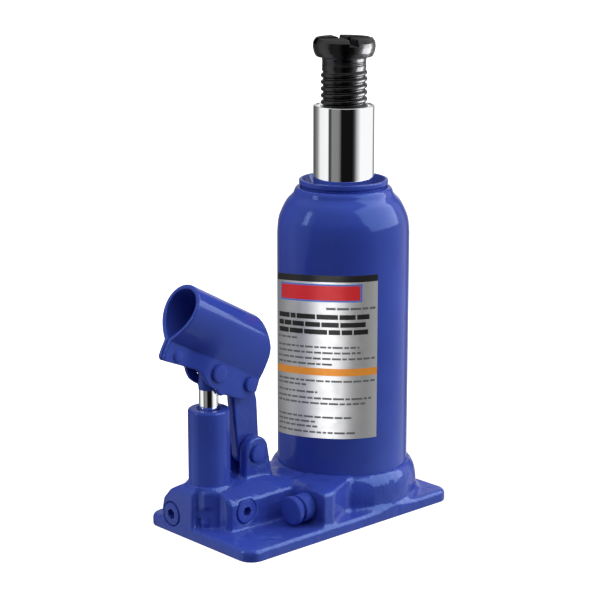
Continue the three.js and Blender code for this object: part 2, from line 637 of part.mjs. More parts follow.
// ---------------------------------------------------------------- valves in the base
// Plug with a flat head and a hexagonal key hole in it, screwed in along a line.
function keyedPlug(from, towards, length) {
  const headThick = 1.4;
  const profile = [
    [0, 0], [PLUG_HEAD_R - 0.8, 0], [PLUG_HEAD_R - 0.4, 0.4], [PLUG_HEAD_R - 0.4, headThick],
    [BORE_R - GAP, headThick], [BORE_R - GAP, length], [0, length],
  ];
  const key = [[0, -1], [2.3, -1], [2.3, 2.6], [0, 2.6]];
  return cut(turnedAlong(profile, from, towards), turnedAlong(key, from, towards, 6));
}

// Short screw sunk flush in its bore, turned with a hexagonal key.
function keyedPlugFlush(from, towards) {
  const profile = [[0, 0], [BORE_R - 0.7, 0], [BORE_R - GAP, 0.4], [BORE_R - GAP, 4.6], [0, 4.6]];
  const key = [[0, -1], [1.8, -1], [1.8, 2.4], [0, 2.4]];
  return cut(turnedAlong(profile, from, towards), turnedAlong(key, from, towards, 6));
}

function valveGroup() {
  const { y: sy, z: sz } = SUCTION;
  add('suction_plug', keyedPlug(vec(-87.2, sy, sz), vec(0, sy, sz), 5.2), BLUE_PAINT);
  add('suction_spring', spring(2.4, 0.4, vec(-81.2, sy, sz), vec(-75.6, sy, sz), 4), STEEL);
  add('suction_ball', ball(2.5, vec(-72.3, sy, sz)), STEEL);
  const { x: dx, z: dz } = DELIVERY;
  add('delivery_plug', keyedPlug(vec(dx, -12.5, dz), vec(dx, 0, dz), 4.2), BLUE_PAINT);
  add('delivery_spring', spring(2.2, 0.22, vec(dx, -7.7, dz), vec(dx, -6.4, dz), 2), STEEL);
  add('delivery_ball', ball(2, vec(dx, -3.8, dz)), STEEL);
  const { x: fx, z: fz } = SAFETY;
  add('safety_screw', keyedPlugFlush(vec(fx, 26, fz), vec(fx, 0, fz)), STEEL);
  add('safety_spring', spring(2.4, 0.4, vec(fx, 20.8, fz), vec(fx, 17, fz), 3), STEEL);
  add('safety_ball', ball(2, vec(fx, 14.2, fz)), STEEL);
  releaseValve();
  const screen = ring(0.8, 2.7, FLOOR_Z + GAP, FLOOR_Z + 1, SMALL);
  add('suction_screen', screen.translate([PORT_X, SUCTION.y, 0]), BRASS);
}

// Release valve: round grip head, flatted neck for the handle's notch, collar and conical stem.
function releaseValve() {
  const { y, z } = VALVE;
  const profile = [
    [0, 0], [5.9, 0], [6.4, 0.5], [6.4, 2.6], [5.9, 3.2], [5, 3.2], [5, 4.5], [5.7, 4.7], [6.1, 5.2],
    [6.1, 10.2], [3.9, 10.2], [3.9, 15], [3, 15], [3, 16.8], [3.9, 16.8], [3.9, 21.4], [1.4, 23.9], [0, 23.9],
  ];
  const from = vec(VALVE.wall - GAP - 10.2, y, z);
  add('release_valve', turnedAlong(profile, from, vec(0, y, z), 24), BLUE_PAINT);
  const groove = [[3.15, 0], [4.05, 0], [4.05, 1.4], [3.15, 1.4], [3.15, 0]];
  add('release_valve_oring', turnedAlong(groove, vec(from.x + 15.2, y, z), vec(0, y, z), 24), RUBBER);
  add('release_ball', ball(2.3, vec(-27.1, y, z)), STEEL);
}

baseGroup();
bottleGroup();
ramGroup();
screwGroup();
pumpGroup();
socketGroup();
linkageGroup();
valveGroup();

export default jack;
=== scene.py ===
"""Looks of a two-ton class hydraulic bottle jack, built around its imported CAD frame.

Shapes are in millimetres in the frame's own axes: +Z up along the ram, -X from the bottle to the pump.
Castings, the bent handle socket and the link come from distance fields, turned pieces from lathe profiles.
"""
import json
import math

import bmesh
import bpy
import numpy as np
from mathutils import Matrix, Vector

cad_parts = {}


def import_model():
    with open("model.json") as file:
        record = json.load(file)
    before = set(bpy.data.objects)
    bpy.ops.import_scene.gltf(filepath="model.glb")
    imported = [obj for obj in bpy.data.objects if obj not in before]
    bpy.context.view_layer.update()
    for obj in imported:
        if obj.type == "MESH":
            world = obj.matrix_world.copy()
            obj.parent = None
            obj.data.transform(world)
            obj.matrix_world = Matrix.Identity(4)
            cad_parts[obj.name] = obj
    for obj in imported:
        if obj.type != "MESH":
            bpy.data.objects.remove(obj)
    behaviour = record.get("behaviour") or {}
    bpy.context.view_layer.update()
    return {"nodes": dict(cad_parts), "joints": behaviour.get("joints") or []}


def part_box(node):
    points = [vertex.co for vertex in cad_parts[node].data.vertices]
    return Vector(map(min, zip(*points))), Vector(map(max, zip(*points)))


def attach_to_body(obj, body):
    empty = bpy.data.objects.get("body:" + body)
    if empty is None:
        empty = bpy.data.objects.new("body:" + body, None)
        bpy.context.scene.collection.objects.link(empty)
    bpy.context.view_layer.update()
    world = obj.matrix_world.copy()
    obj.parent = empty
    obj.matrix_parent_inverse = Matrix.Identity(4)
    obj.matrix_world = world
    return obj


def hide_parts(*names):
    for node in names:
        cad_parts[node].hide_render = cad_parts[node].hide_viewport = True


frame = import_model()
scene = bpy.context.scene

MM = 0.001
JOINTS = {joint["name"]: joint for joint in frame["joints"]}


def extent(node):
    """Lowest and highest corner of a CAD node, in millimetres."""
    low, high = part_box(node)
    return np.array(low) / MM, np.array(high) / MM


def pivot(name):
    """Where a joint turns, in millimetres."""
    return np.array(JOINTS[name]["pos_m"]) / MM


# ---- driving dimensions, millimetres
PLATE_LOW, _ = extent("base_casting")
PLATE_RIGHT = 36.3  # right end of the base plate
PLATE_TOP = 5.5
PLATE_CORNER = 6.6
PLATE_EDGE = 2.3  # rounding of the plate's upper edge
BOSS_R = 34.4  # ring round the bottle's foot
BOSS_TOP = 21.0
DECK_Z = 24.0  # top of the pump block
ABOVE = 60  # well above the casting, where its upright holes end

BOTTLE_R = extent("reservoir_tube")[1][0]
BOTTLE_BORE = 27.5
BOTTLE_FOOT = 16.6
SHOULDER_Z = 127.0
NECK_BORE = 17.5
FILLER_Z = 112
CYLINDER_LOW, _ = extent("cylinder_gasket")
CYLINDER_R = 20.5  # outside of the pressure cylinder

_, NUT_HIGH = extent("top_nut")
RAM_LOW, RAM_HIGH = extent("ram")
RAM_R = RAM_HIGH[0]
SCREW_LOW, SCREW_HIGH = extent("extension_screw")
HEAD_R = SCREW_HIGH[0]
HEAD_Z = SCREW_HIGH[2] - 8.3  # underside of the screw's head
HEAD_GROOVE = 2.15  # half width of the cross grooves
SCREW_BAR = 9.5
SCREW_NECK = 9.9
THREAD_PITCH = 3.0
THREAD_TURNS = 14
THREAD_ROOT = 9.4
THREAD_DEPTH = 1.0
THREAD_PLAIN = 0.4  # share of the depth where the thread runs out
THREAD_HIGH = HEAD_Z - 5.0
THREAD_LOW = THREAD_HIGH - THREAD_TURNS * THREAD_PITCH

PUMP_LOW, PUMP_HIGH = extent("pump_cylinder")
PUMP_X, PUMP_Y = (PUMP_LOW[:2] + PUMP_HIGH[:2]) / 2
PUMP_R = (PUMP_HIGH[0] - PUMP_LOW[0]) / 2
PLUNGER_R = 4.35
PAINTED_FROM = 66.8  # the plunger is enamelled above this height

PIN_PLUNGER = pivot("socket_swing")
PIN_LOWER = pivot("link_swing")
PIN_UPPER = np.array([-56.9, PUMP_Y, 66.7])
PIN_HEAD = 1.6  # thickness of a pin's head
PIN_PLAY = 0.3  # gap between a pin's head and the ear or flange
PIN_TAIL = 1.7  # what stands past the split ring's inner face

SOCKET_MOUTH = np.array([-90.1, PUMP_Y, 106.2])
SOCKET_TILT = math.radians(28.3)
SOCKET_R = 9.5  # middle of the bent sheet
SHEET = 2.0
FLANGE_HALF = 7.0  # outside of the socket's flanges
EAR_HALF = 8.0
EAR_THICK = 5.1
LINK_HALF = 2.5
RIVET_R = 2.95
RIVET_STEM = 1.7
RIVET_RIM = 1.25
RIVET_CROWN = 1.2

VALVE = pivot("valve_turn")
SUCTION = np.array([-87.2, 18.5, 8.6])
DELIVERY = np.array([-69.2, -12.5, 13.6])
SAFETY = np.array([-45.0, 26.5, 11.5])
PLUG_HEAD = 5.25
PLUG_STEM = 3.6

LABEL_FROM = math.radians(147.6)  # turn of the label's left end
LABEL_TO = math.radians(257.0)
SAG_FROM = math.radians(224)  # the label hangs down more and more from here to its left end
SAG_SPAN = math.radians(74)
SAG_DEPTH = 3.8

GLOSS_SIDES = 160  # facets round the large turned pieces
BARREL_SIDES = 112
ROD_SIDES = 96
SMALL_SIDES = 72
RING_SIDES = 64
RIVET_SIDES = 56
HOLE_SIDES = 48
HEXAGON = 6
FILLET_STEPS = 6
ARC_STEPS = 12
ON_AXIS = 1e-6  # a smaller radius is a point on the lathe's line
CAST_STEP = 0.6  # grid of the base casting's distance field
FINE_STEP = 0.4  # grid of the socket and the link
ALONG_X = (1, 0, 0)
ALONG_Y = (0, 1, 0)


# ---- distance fields
class Field:
    """Distances sampled on a box-shaped grid."""

    def __init__(self, low, high, step):
        self.low = np.array(low, float)
        self.step = step
        axes = [np.arange(a, b + step, step) for a, b in zip(low, high)]
        self.x, self.y, self.z = np.meshgrid(*axes, indexing="ij", sparse=True)
        self.shape = tuple(len(axis) for axis in axes)


def to_line(u, v, points):
    """Distance from (u, v) to a line through points."""
    nearest = np.inf
    for (au, av), (bu, bv) in zip(points, points[1:]):
        eu, ev = bu - au, bv - av
        t = np.clip(((u - au) * eu + (v - av) * ev) / (eu * eu + ev * ev), 0, 1)
        nearest = np.minimum(nearest, np.hypot(u - au - t * eu, v - av - t * ev))
    return nearest


def polygon(u, v, points):
    """Signed distance from (u, v) to a closed outline, negative inside."""
    points = [*points, points[0]]
    inside = False
    for (au, av), (bu, bv) in zip(points, points[1:]):
        slope = (bu - au) / (bv - av) if bv != av else 0.0
        inside = inside ^ (((av <= v) != (bv <= v)) & (u < au + (v - av) * slope))
    return np.where(inside, -1, 1) * to_line(u, v, points)


def disc(u, v, centre, radius):
    return np.hypot(u - centre[0], v - centre[1]) - radius


def common(a, b, radius):
    """What two shapes share, with the edge between them rounded."""
    both = np.hypot(np.maximum(a + radius, 0), np.maximum(b + radius, 0))
    return np.minimum(np.maximum(a, b), -radius) + both


def joined(a, b, radius):
    """Both shapes in one, with a fillet between them."""
    return -common(-a, -b, radius)


def without(a, b, radius):
    return common(a, -b, radius)


def rounded_prism(flat, w, low, high, radius=0.0):
    """A flat shape's distance swept from low to high along w, with its rims rounded."""
    return common(flat, np.maximum(low - w, w - high), radius)


def along_x(f, at, radius, low, high):
    return rounded_prism(disc(f.y, f.z, (at[1], at[2]), radius), f.x, low, high)


def along_y(f, at, radius, low, high):
    return rounded_prism(disc(f.x, f.z, (at[0], at[2]), radius), f.y, low, high)


def along_z(f, at, radius, low, high, rim=0.0):
    return rounded_prism(disc(f.x, f.y, at, radius), f.z, low, high, rim)


def sample(values, at):
    """Trilinear reading of a sampled field at grid coordinates."""
    base = np.clip(np.floor(at).astype(int), 0, np.array(values.shape) - 2)
    part = at - base
    total = 0
    for corner in np.ndindex(2, 2, 2):
        weight = np.prod(np.where(np.array(corner), part, 1 - part), axis=1)
        i, j, k = (base + corner).T
        total = total + weight * values[i, j, k]
    return total


def crossed_cells(values, cells):
    """The cells that the surface crosses, and the middle of its crossings with each cell's edges."""
    def values_at(corner):
        return values[tuple(slice(c, c + n) for c, n in zip(corner, cells))]

    total = np.zeros((*cells, 3))
    count = np.zeros(cells)
    for corner in np.ndindex(2, 2, 2):
        for axis in range(3):
            if corner[axis]:
                continue
            first = values_at(corner)
            second = values_at(c + (i == axis) for i, c in enumerate(corner))
            crossed = (first < 0) != (second < 0)
            share = np.where(crossed, first / np.where(crossed, first - second, 1), 0)
            for i in range(3):
                total[..., i] += np.where(crossed, corner[i] + (share if i == axis else 0), 0)
            count += crossed
    used = np.argwhere(count > 0)
    return used, used + total[tuple(used.T)] / count[tuple(used.T)][:, None]


def settled(values, at, step):
    """Points in grid coordinates, moved along the field's slope onto its zero."""
    slopes = np.gradient(values)
    for _ in range(3):
        slope = np.stack([sample(part, at) for part in slopes], axis=1)
        slope /= np.maximum((slope ** 2).sum(1), 1e-9)[:, None]
        move = np.clip(sample(values, at), -0.5 * step, 0.5 * step)
        at = at - move[:, None] * slope
    return at


def quads_across(values, index, axis, leaves):
    """A face for each grid edge along the axis that leaves the shape, or for each that enters it."""
    inside = values < 0
    u, v = [i for i in range(3) if i != axis]
    ahead = [slice(None)] * 3
    behind = [slice(None)] * 3
    ahead[axis] = slice(1, None)
    behind[axis] = slice(0, -1)
    here = np.argwhere((inside[tuple(behind)] == leaves) & (inside[tuple(ahead)] != leaves))
    here = here[(here[:, u] > 0) & (here[:, v] > 0)]
    here = here[(here[:, u] < index.shape[u]) & (here[:, v] < index.shape[v])]
    ring = []
    for du, dv in ((-1, -1), (0, -1), (0, 0), (-1, 0)):
        cell = here.copy()
        cell[:, u] += du
        cell[:, v] += dv
        ring.append(index[tuple(cell.T)])
    quads = np.stack(ring, axis=1)
    flip = leaves == (axis == 1)
    return quads[:, ::-1] if flip else quads


def surface(field, values):
    """Closed quad mesh where the distance is zero: one vertex in each cell that the surface crosses."""
    values = np.ascontiguousarray(np.broadcast_to(values, field.shape))
    cells = tuple(n - 1 for n in field.shape)
    used, at = crossed_cells(values, cells)
    index = np.full(cells, -1)
    index[tuple(used.T)] = np.arange(len(used))
    at = settled(values, at, field.step)
    faces = [quads_across(values, index, axis, leaves) for axis in range(3) for leaves in (True, False)]
    return field.low + at * field.step, np.concatenate(faces)


# ---- outlines and meshes
def fillet(corner, before, after, radius):
    """Points of the arc that rounds the corner between two neighbours."""
    here = Vector(corner)
    back = (Vector(before) - here).normalized()
    ahead = (Vector(after) - here).normalized()
    half = back.angle(ahead) / 2
    cut = radius / math.tan(half)
    centre = here + (back + ahead).normalized() * (radius / math.sin(half))
    start = here + back * cut - centre
    end = here + ahead * cut - centre
    spots = []
    for k in range(FILLET_STEPS + 1):
        spot = centre + radius * start.slerp(end, k / FILLET_STEPS, start).normalized()
        spots.append((spot.x, spot.y))
    return spots


def rounded(points):
    """Outline whose corners are rounded where a point carries a third number, the radius."""
    result = []
    for i, (u, v, *radius) in enumerate(points):
        if radius:
            after = points[(i + 1) % len(points)]
            result += fillet((u, v), points[i - 1][:2], after[:2], radius[0])
        else:
            result.append((u, v))
    return result


def ring_profile(points):
    """Rounded outline that ends where it starts, for a lathed ring."""
    outline = rounded(points)
    return [*outline, outline[0]]


def arc(centre, radius, start, end):
    angles = np.radians(np.linspace(start, end, ARC_STEPS + 1))
    return [(centre[0] + radius * math.cos(a), centre[1] + radius * math.sin(a)) for a in angles]


def smooth_line(points, steps):
    """Catmull-Rom curve through points."""
    ends = [points[0], *points, points[-1]]
    result = []
    for p0, p1, p2, p3 in zip(ends, ends[1:], ends[2:], ends[3:]):
        p0, p1, p2, p3 = (np.array(p, float) for p in (p0, p1, p2, p3))
        for k in range(steps):
            t = k / steps
            result.append(tuple(0.5 * (
                2 * p1 + (p2 - p0) * t + (2 * p0 - 5 * p1 + 4 * p2 - p3) * t ** 2
                + (3 * p1 - p0 - 3 * p2 + p3) * t ** 3)))
    return [*result, tuple(points[-1])]


def mesh_object(name, vertices, faces):
    """New object from vertices in millimetres."""
    mesh = bpy.data.meshes.new(name)
    mesh.from_pydata((np.asarray(vertices, float) * MM).tolist(), [], [list(map(int, f)) for f in faces])
    piece = bpy.data.objects.new(name, mesh)
    scene.collection.objects.link(piece)
    return piece


def bridged(rings):
    """Faces between each ring and the next, as triangles where one of them is a single point."""
    faces = []
    for low, high in zip(rings, rings[1:]):
        for side in range(len(low)):
            after = (side + 1) % len(low)
            corners = [low[side], low[after], high[after], high[side]]
            corners = [c for k, c in enumerate(corners) if c != corners[k - 1]]
            if len(corners) > 2:
                faces.append(corners)
    return faces


def turned(name, profile, sides=SMALL_SIDES, origin=(0, 0, 0), towards=(0, 0, 1), ridge=None):
    """Lathe: [radius, height] points about a line. A ridge adds to the radius at a height and a turn."""
    vertices = []
    rings = []
    for radius, height in profile:
        if radius < ON_AXIS:
            rings.append([len(vertices)] * sides)
            vertices.append((0, 0, height))
            continue
        rings.append(list(range(len(vertices), len(vertices) + sides)))
        for side in range(sides):
            turn = side / sides
            r = radius + (ridge(height, turn) if ridge else 0)
            angle = 2 * math.pi * turn
            vertices.append((r * math.cos(angle), r * math.sin(angle), height))
    tilt = Vector((0, 0, 1)).rotation_difference(Vector(towards)).to_matrix()
    placed = np.array(vertices) @ np.array(tilt).T + np.array(origin)
    piece = mesh_object(name, placed, bridged(rings))
    weld(piece)
    return piece


def weld(piece):
    """Joins doubled vertices and points every face outwards."""
    work = bmesh.new()
    work.from_mesh(piece.data)
    bmesh.ops.remove_doubles(work, verts=work.verts, dist=0.0005 * MM)
    bmesh.ops.recalc_face_normals(work, faces=work.faces)
    work.to_mesh(piece.data)
    work.free()


def box_piece(name, low, high):
    corners = [[(low, high)[c][i] for i, c in enumerate(corner)] for corner in np.ndindex(2, 2, 2)]
    faces = [(0, 1, 3, 2), (4, 6, 7, 5), (0, 4, 5, 1), (2, 3, 7, 6), (0, 2, 6, 4), (1, 5, 7, 3)]
    return mesh_object(name, corners, faces)


def carve(piece, tool):
    """Cuts a tool's shape out of a piece and removes the tool."""
    modifier = piece.modifiers.new("carve", "BOOLEAN")
    modifier.operation = "DIFFERENCE"
    modifier.solver = "EXACT"
    modifier.object = tool
    graph = bpy.context.evaluated_depsgraph_get()
    mesh = bpy.data.meshes.new_from_object(piece.evaluated_get(graph))
    piece.modifiers.clear()
    piece.data = mesh
    bpy.data.objects.remove(tool)
    return piece


def attach(piece, body, slot, *nodes, sharp=35):
    """Smooths a finished piece, puts it on its body and hides the CAD nodes that it stands for."""
    piece.data.shade_smooth()
    piece.data.set_sharp_from_angle(angle=math.radians(sharp))
    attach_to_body(piece, body)
    if nodes:
        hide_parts(*nodes)


def place(piece, material, body, slot, *nodes, sharp=35):
    """Attaches a piece that has one material all over."""
    piece.data.materials.clear()
    piece.data.materials.append(material)
    attach(piece, body, slot, *nodes, sharp=sharp)


# ---- materials
class Nodes:
    """A node tree built up by small calls."""

    def __init__(self, tree):
        self.tree = tree

    def node(self, kind, **settings):
        """New node. A setting is linked to the input of that name or is its value, if there is one."""
        node = self.tree.nodes.new(kind)
        for key, value in settings.items():
            socket = key.replace("_", " ")
            if isinstance(value, bpy.types.NodeSocket):
                self.link(value, node.inputs[socket])
            elif socket in node.inputs:
                node.inputs[socket].default_value = value
            else:
                setattr(node, key, value)
        return node

    def link(self, source, target):
        self.tree.links.new(source, target)

    def ramp(self, factor, *stops):
        """Grey levels at positions along a factor."""
        node = self.node("ShaderNodeValToRGB", Fac=factor)
        elements = node.color_ramp.elements
        while len(elements) < len(stops):
            elements.new(0.5)
        for element, (position, level) in zip(elements, stops):
            element.position = position
            element.color = (level, level, level, 1)
        return node.outputs["Color"]

    def mix(self, factor, first, second):
        """Goes from first to second with the factor. Each is a colour, a number or a node's output."""
        node = self.node("ShaderNodeMix", data_type="RGBA")
        self.link(factor, node.inputs[0])
        for socket, value in ((node.inputs[6], first), (node.inputs[7], second)):
            if isinstance(value, bpy.types.NodeSocket):
                self.link(value, socket)
            else:
                colour = value if isinstance(value, tuple) else (value, value, value)
                socket.default_value = (*colour, 1)
        return node.outputs[2]


class Shader(Nodes):
    """A node material with a Principled surface."""

    def __init__(self, name, **values):
        self.material = bpy.data.materials.new(name)
        self.material.use_nodes = True
        super().__init__(self.material.node_tree)
        self.surface = self.tree.nodes["Principled BSDF"]
        for socket, value in values.items():
            self.surface.inputs[socket.replace("_", " ")].default_value = value

    def noise(self, size, detail, stretch=(1, 1, 1)):
        """Noise whose features are about size millimetres across."""
        where = self.node("ShaderNodeTexCoord").outputs["Object"]
        scale = [s / MM for s in stretch]
        place = self.node("ShaderNodeMapping", Scale=scale, Vector=where).outputs["Vector"]
        return self.node("ShaderNodeTexNoise", Scale=1 / size, Detail=detail, Vector=place).outputs["Fac"]

    def wear(self, low, high):
        """1 along sharp outward edges, 0 elsewhere."""
        edges = self.node("ShaderNodeNewGeometry").outputs["Pointiness"]
        return self.ramp(edges, (low, 0), (high, 1))

    def bumps(self, *layers):
        """Bump layers, each a height, how deep it is in millimetres and its strength."""
        normal = None
        for height, depth, strength in layers:
            bump = self.node("ShaderNodeBump", Distance=depth * MM, Strength=strength, Height=height)
            if normal:
                self.link(normal, bump.inputs["Normal"])
            normal = bump.outputs["Normal"]
        self.link(normal, self.surface.inputs["Normal"])

    def set(self, socket, source):
        self.link(source, self.surface.inputs[socket])


ENAMEL_DEEP = (0.037, 0.066, 0.385)
ENAMEL_LIGHT = (0.043, 0.078, 0.460)
ENAMEL_THIN = (0.090, 0.150, 0.520)  # where it runs thin over an edge
ENAMEL_GLINT = (0.38, 0.62, 1.0, 1)
OXIDE_DARK = (0.018, 0.018, 0.020)
OXIDE_WORN = (0.050, 0.050, 0.053)
OXIDE_RUBBED = (0.26, 0.26, 0.27)


def enamel(name, glint, cloud_size, *lumps):
    """Blue enamel, thin along sharp edges, over lumps: each a size, a detail, a depth and a strength."""
    paint = Shader(name, IOR=1.5, Specular_IOR_Level=glint, Specular_Tint=ENAMEL_GLINT)
    cloud = paint.ramp(paint.noise(cloud_size, 3), (0.35, 0), (0.65, 1))
    colour = paint.mix(cloud, ENAMEL_DEEP, ENAMEL_LIGHT)
    thin = paint.mix(paint.wear(0.53, 0.62), 0.0, 0.35)
    paint.set("Base Color", paint.mix(thin, colour, ENAMEL_THIN))
    paint.set("Roughness", paint.ramp(paint.noise(5, 4), (0.3, 0.09), (0.7, 0.15)))
    layers = [(paint.noise(size, detail), depth, strength) for size, detail, depth, strength in lumps]
    paint.bumps(*layers, (paint.noise(1.6, 2), 0.02, 0.2))
    return paint.material


def chromed():
    """Hard chrome on ground steel: fine rings round the axis and faint smears of oil."""
    metal = Shader("hard_chrome", Base_Color=(0.95, 0.955, 0.965, 1), Metallic=1.0)
    smear = metal.noise(14, 3, (1, 1, 0.3))
    metal.set("Roughness", metal.ramp(smear, (0.35, 0.025), (0.75, 0.06)))
    rings = metal.noise(0.35, 2, (0.05, 0.05, 1))
    metal.bumps((rings, 0.003, 0.2), (smear, 0.02, 0.08))
    return metal.material


def oxide():
    """Black oxide under a film of oil, rubbed brighter along its edges and dull on faces that look up."""
    metal = Shader("black_oxide", Coat_Roughness=0.14)
    normal = metal.node("ShaderNodeTexCoord").outputs["Normal"]
    split = metal.node("ShaderNodeSeparateXYZ", Vector=normal)
    upward = metal.ramp(split.outputs["Z"], (0.9, 0), (0.98, 1))
    metal.set("Coat Weight", metal.mix(upward, 0.3, 0))
    metal.set("Metallic", metal.mix(upward, 1, 0))
    metal.set("Specular IOR Level", metal.mix(upward, 0.5, 0.05))
    rubbed = metal.mix(upward, metal.wear(0.54, 0.64), 0)
    cloud = metal.mix(metal.noise(5, 4), OXIDE_DARK, OXIDE_WORN)
    metal.set("Base Color", metal.mix(rubbed, cloud, OXIDE_RUBBED))
    polish = metal.ramp(metal.noise(2.5, 4), (0.3, 0.2), (0.7, 0.36))
    metal.set("Roughness", metal.mix(upward, polish, 0.75))
    metal.bumps((metal.noise(0.7, 3), 0.02, 0.3))
    return metal.material


def plain_metal(name, colour, roughness):
    """Turned metal with a fine grain."""
    metal = Shader(name, Metallic=1.0)
    dull = tuple(0.7 * c for c in colour)
    metal.set("Base Color", metal.mix(metal.noise(6, 3), colour, dull))
    metal.set("Roughness", metal.ramp(metal.noise(3, 3), (0.3, roughness), (0.7, roughness + 0.15)))
    metal.bumps((metal.noise(0.3, 2), 0.01, 0.3))
    return metal.material


def rubber():
    """Black rubber, dusty in patches."""
    stuff = Shader("oil_resistant_rubber")
    stuff.set("Base Color", stuff.mix(stuff.noise(3, 3), 0.012, 0.03))
    stuff.set("Roughness", stuff.ramp(stuff.noise(2, 3), (0.3, 0.55), (0.7, 0.75)))
    stuff.bumps((stuff.noise(0.5, 3), 0.03, 0.4))
    return stuff.material


def printed_film(name, colour, metallic, roughness):
    """Printed label film: satin, with a fine grain and slight ripples where it was pressed on."""
    ink = Shader(name, Metallic=metallic, Coat_Weight=0.04, Coat_Roughness=0.18, Specular_IOR_Level=0.1)
    shade = tuple(0.94 * c for c in colour)
    ink.set("Base Color", ink.mix(ink.noise(0.5, 2), colour, shade))
    ink.set("Roughness", ink.ramp(ink.noise(3, 3), (0.3, roughness), (0.7, roughness + 0.08)))
    ink.bumps((ink.noise(12, 1), 0.05, 0.25), (ink.noise(0.4, 1), 0.004, 0.2))
    return ink.material


CAST_ENAMEL = enamel("enamel_on_casting", 0.30, 22, (5.0, 2, 0.65, 0.8), (1.6, 2, 0.10, 0.4))
SMOOTH_ENAMEL = enamel("enamel_on_steel", 0.20, 30, (9, 1, 0.03, 0.2))
CHROME = chromed()
OXIDE = oxide()
STEEL = plain_metal("plain_steel", (0.55, 0.56, 0.58), 0.22)
BRASS = plain_metal("turned_brass", (0.72, 0.50, 0.22), 0.22)
COPPER = plain_metal("soft_copper", (0.72, 0.33, 0.18), 0.3)
RUBBER = rubber()


# ---- base casting
BLOCK_SECTION = [
    (-12.5, 0), (26.5, 0), (26.5, 9), (24.6, 15), (20, 20), (14, 23.6), (10, DECK_Z),
    (2, DECK_Z), (-4, 23), (-9, 20.2), (-12, 18), (-12.5, 17),
]
BLOCK_SIDE = [
    (-87.6, 0), (-87.6, 19.6), (-85.8, 22.6), (-82, DECK_Z + 1),
    (-58, DECK_Z + 1), (-44, 20.8), (-5, 19.6), (-5, 0),
]
BLOCK_PLAN = [
    (-87.6, 3.4), (-87.6, 25), (-85.8, 26.5), (-5, 26.5), (-5, -12.5),
    (-75, -12.5), (-77.4, -11.4), (-78.4, -9), (-78.4, -5), (-84, -1), (-84, 3.4),
]
BLOCK_POCKET = [(-92, -5), (-81, -5), (-81, 3), (-92, 3)]
HOUSING_PLAN = [(VALVE[0], -34), (-38, -34.2), (-22, -26.5), (-10, -20), (-10, -8), (VALVE[0], -8)]
HOUSING_SECTION = [(-34.3, 0), (-34.3, 19), (-33, 20.4), (-30.5, 20.9), (0, 20.6), (0, 0)]


def block(f):
    """Pump block: three outlines in one, with a pocket at the corner and a small lump in the pocket."""
    section = polygon(f.y, f.z, BLOCK_SECTION)
    side = polygon(f.x, f.z, BLOCK_SIDE)
    plan = polygon(f.x, f.y, BLOCK_PLAN)
    body = common(common(section, side, 2.4), plan, 1.8)
    pocket = rounded_prism(polygon(f.x, f.y, BLOCK_POCKET), f.z, 0, 14.5, 1.6)
    body = without(body, pocket, 1.8)
    lump = np.sqrt((f.x + 81.6) ** 2 + (f.y - 1.2) ** 2 + (f.z - 7.9) ** 2) - 2.3
    return joined(body, lump, 1.0)


def housing(f):
    """Housing of the release valve. Its left end rises towards the bottle and towards the front."""
    plan = polygon(f.x, f.y, HOUSING_PLAN)
    section = polygon(f.y, f.z, HOUSING_SECTION)
    slope = f.z - 17.2 - 0.9 * (f.x - VALVE[0]) - 0.45 * np.maximum(-18 - f.y, 0)
    return common(common(plan, section, 1.2), slope * 0.7, 1.5)


def ears(f):
    """The two ears that carry the link's lower pin."""
    x, _, z = PIN_LOWER
    outline = [(x - 6.9, 14), *arc((x + 0.3, z + 1.2), 6.6, 180, 0), (x + 8.6, 26), (x + 11.6, 14)]
    flat = polygon(f.x, f.z, outline)
    near = rounded_prism(flat, f.y, PUMP_Y - EAR_HALF, PUMP_Y - EAR_HALF + EAR_THICK, 1.0)
    far = rounded_prism(flat, f.y, PUMP_Y + EAR_HALF - EAR_THICK, PUMP_Y + EAR_HALF, 1.0)
    return without(np.minimum(near, far), disc(f.x, f.z, (x, z), 3.0), 0.3)


def boss(f):
    """Ring round the bottle's foot, with a quarter of an ellipse for its outer edge."""
    inner = BOTTLE_R - 0.1
    start = 10.5
    curve = [(inner + (BOSS_R - inner) * math.cos(a), start + (BOSS_TOP - start) * math.sin(a))
             for a in np.radians(np.linspace(0, 90, 9))]
    return polygon(np.hypot(f.x, f.y), f.z, [(0, 0), (BOSS_R, 0), *curve, (0, BOSS_TOP)])


def plate_outline(f):
    """Rounded rectangle of the base plate, seen from above."""
    left, front = PLATE_LOW[:2]
    middle = (left + PLATE_RIGHT) / 2
    return common(np.abs(f.x - middle) - (PLATE_RIGHT - middle), np.abs(f.y) + front, PLATE_CORNER)


def holes(f):
    """Seats and holes for the turned pieces, each with the rounding of its rim."""
    axis = (0, 0)
    return [
        (along_z(f, axis, BOTTLE_R - 0.1, 15, ABOVE), 0.3),
        (along_z(f, axis, CYLINDER_R + 0.3, CYLINDER_LOW[2] - 0.3, ABOVE), 0.3),
        (along_z(f, (PUMP_X, PUMP_Y), 7.7, 15.6, ABOVE), 0.3),
        (along_x(f, SUCTION, 5.6, -95, -85.5), 0.4),
        (along_x(f, SUCTION, 3.9, -95, -69.4), 0.2),
        (along_y(f, DELIVERY, 5.6, -20, -10.8), 0.4),
        (along_y(f, DELIVERY, 3.9, -20, -1.5), 0.2),
        (along_y(f, SAFETY, 3.9, 11.8, 40), 0.4),
        (along_x(f, VALVE, 4.2, -60, -24.5), 0.3),
    ]


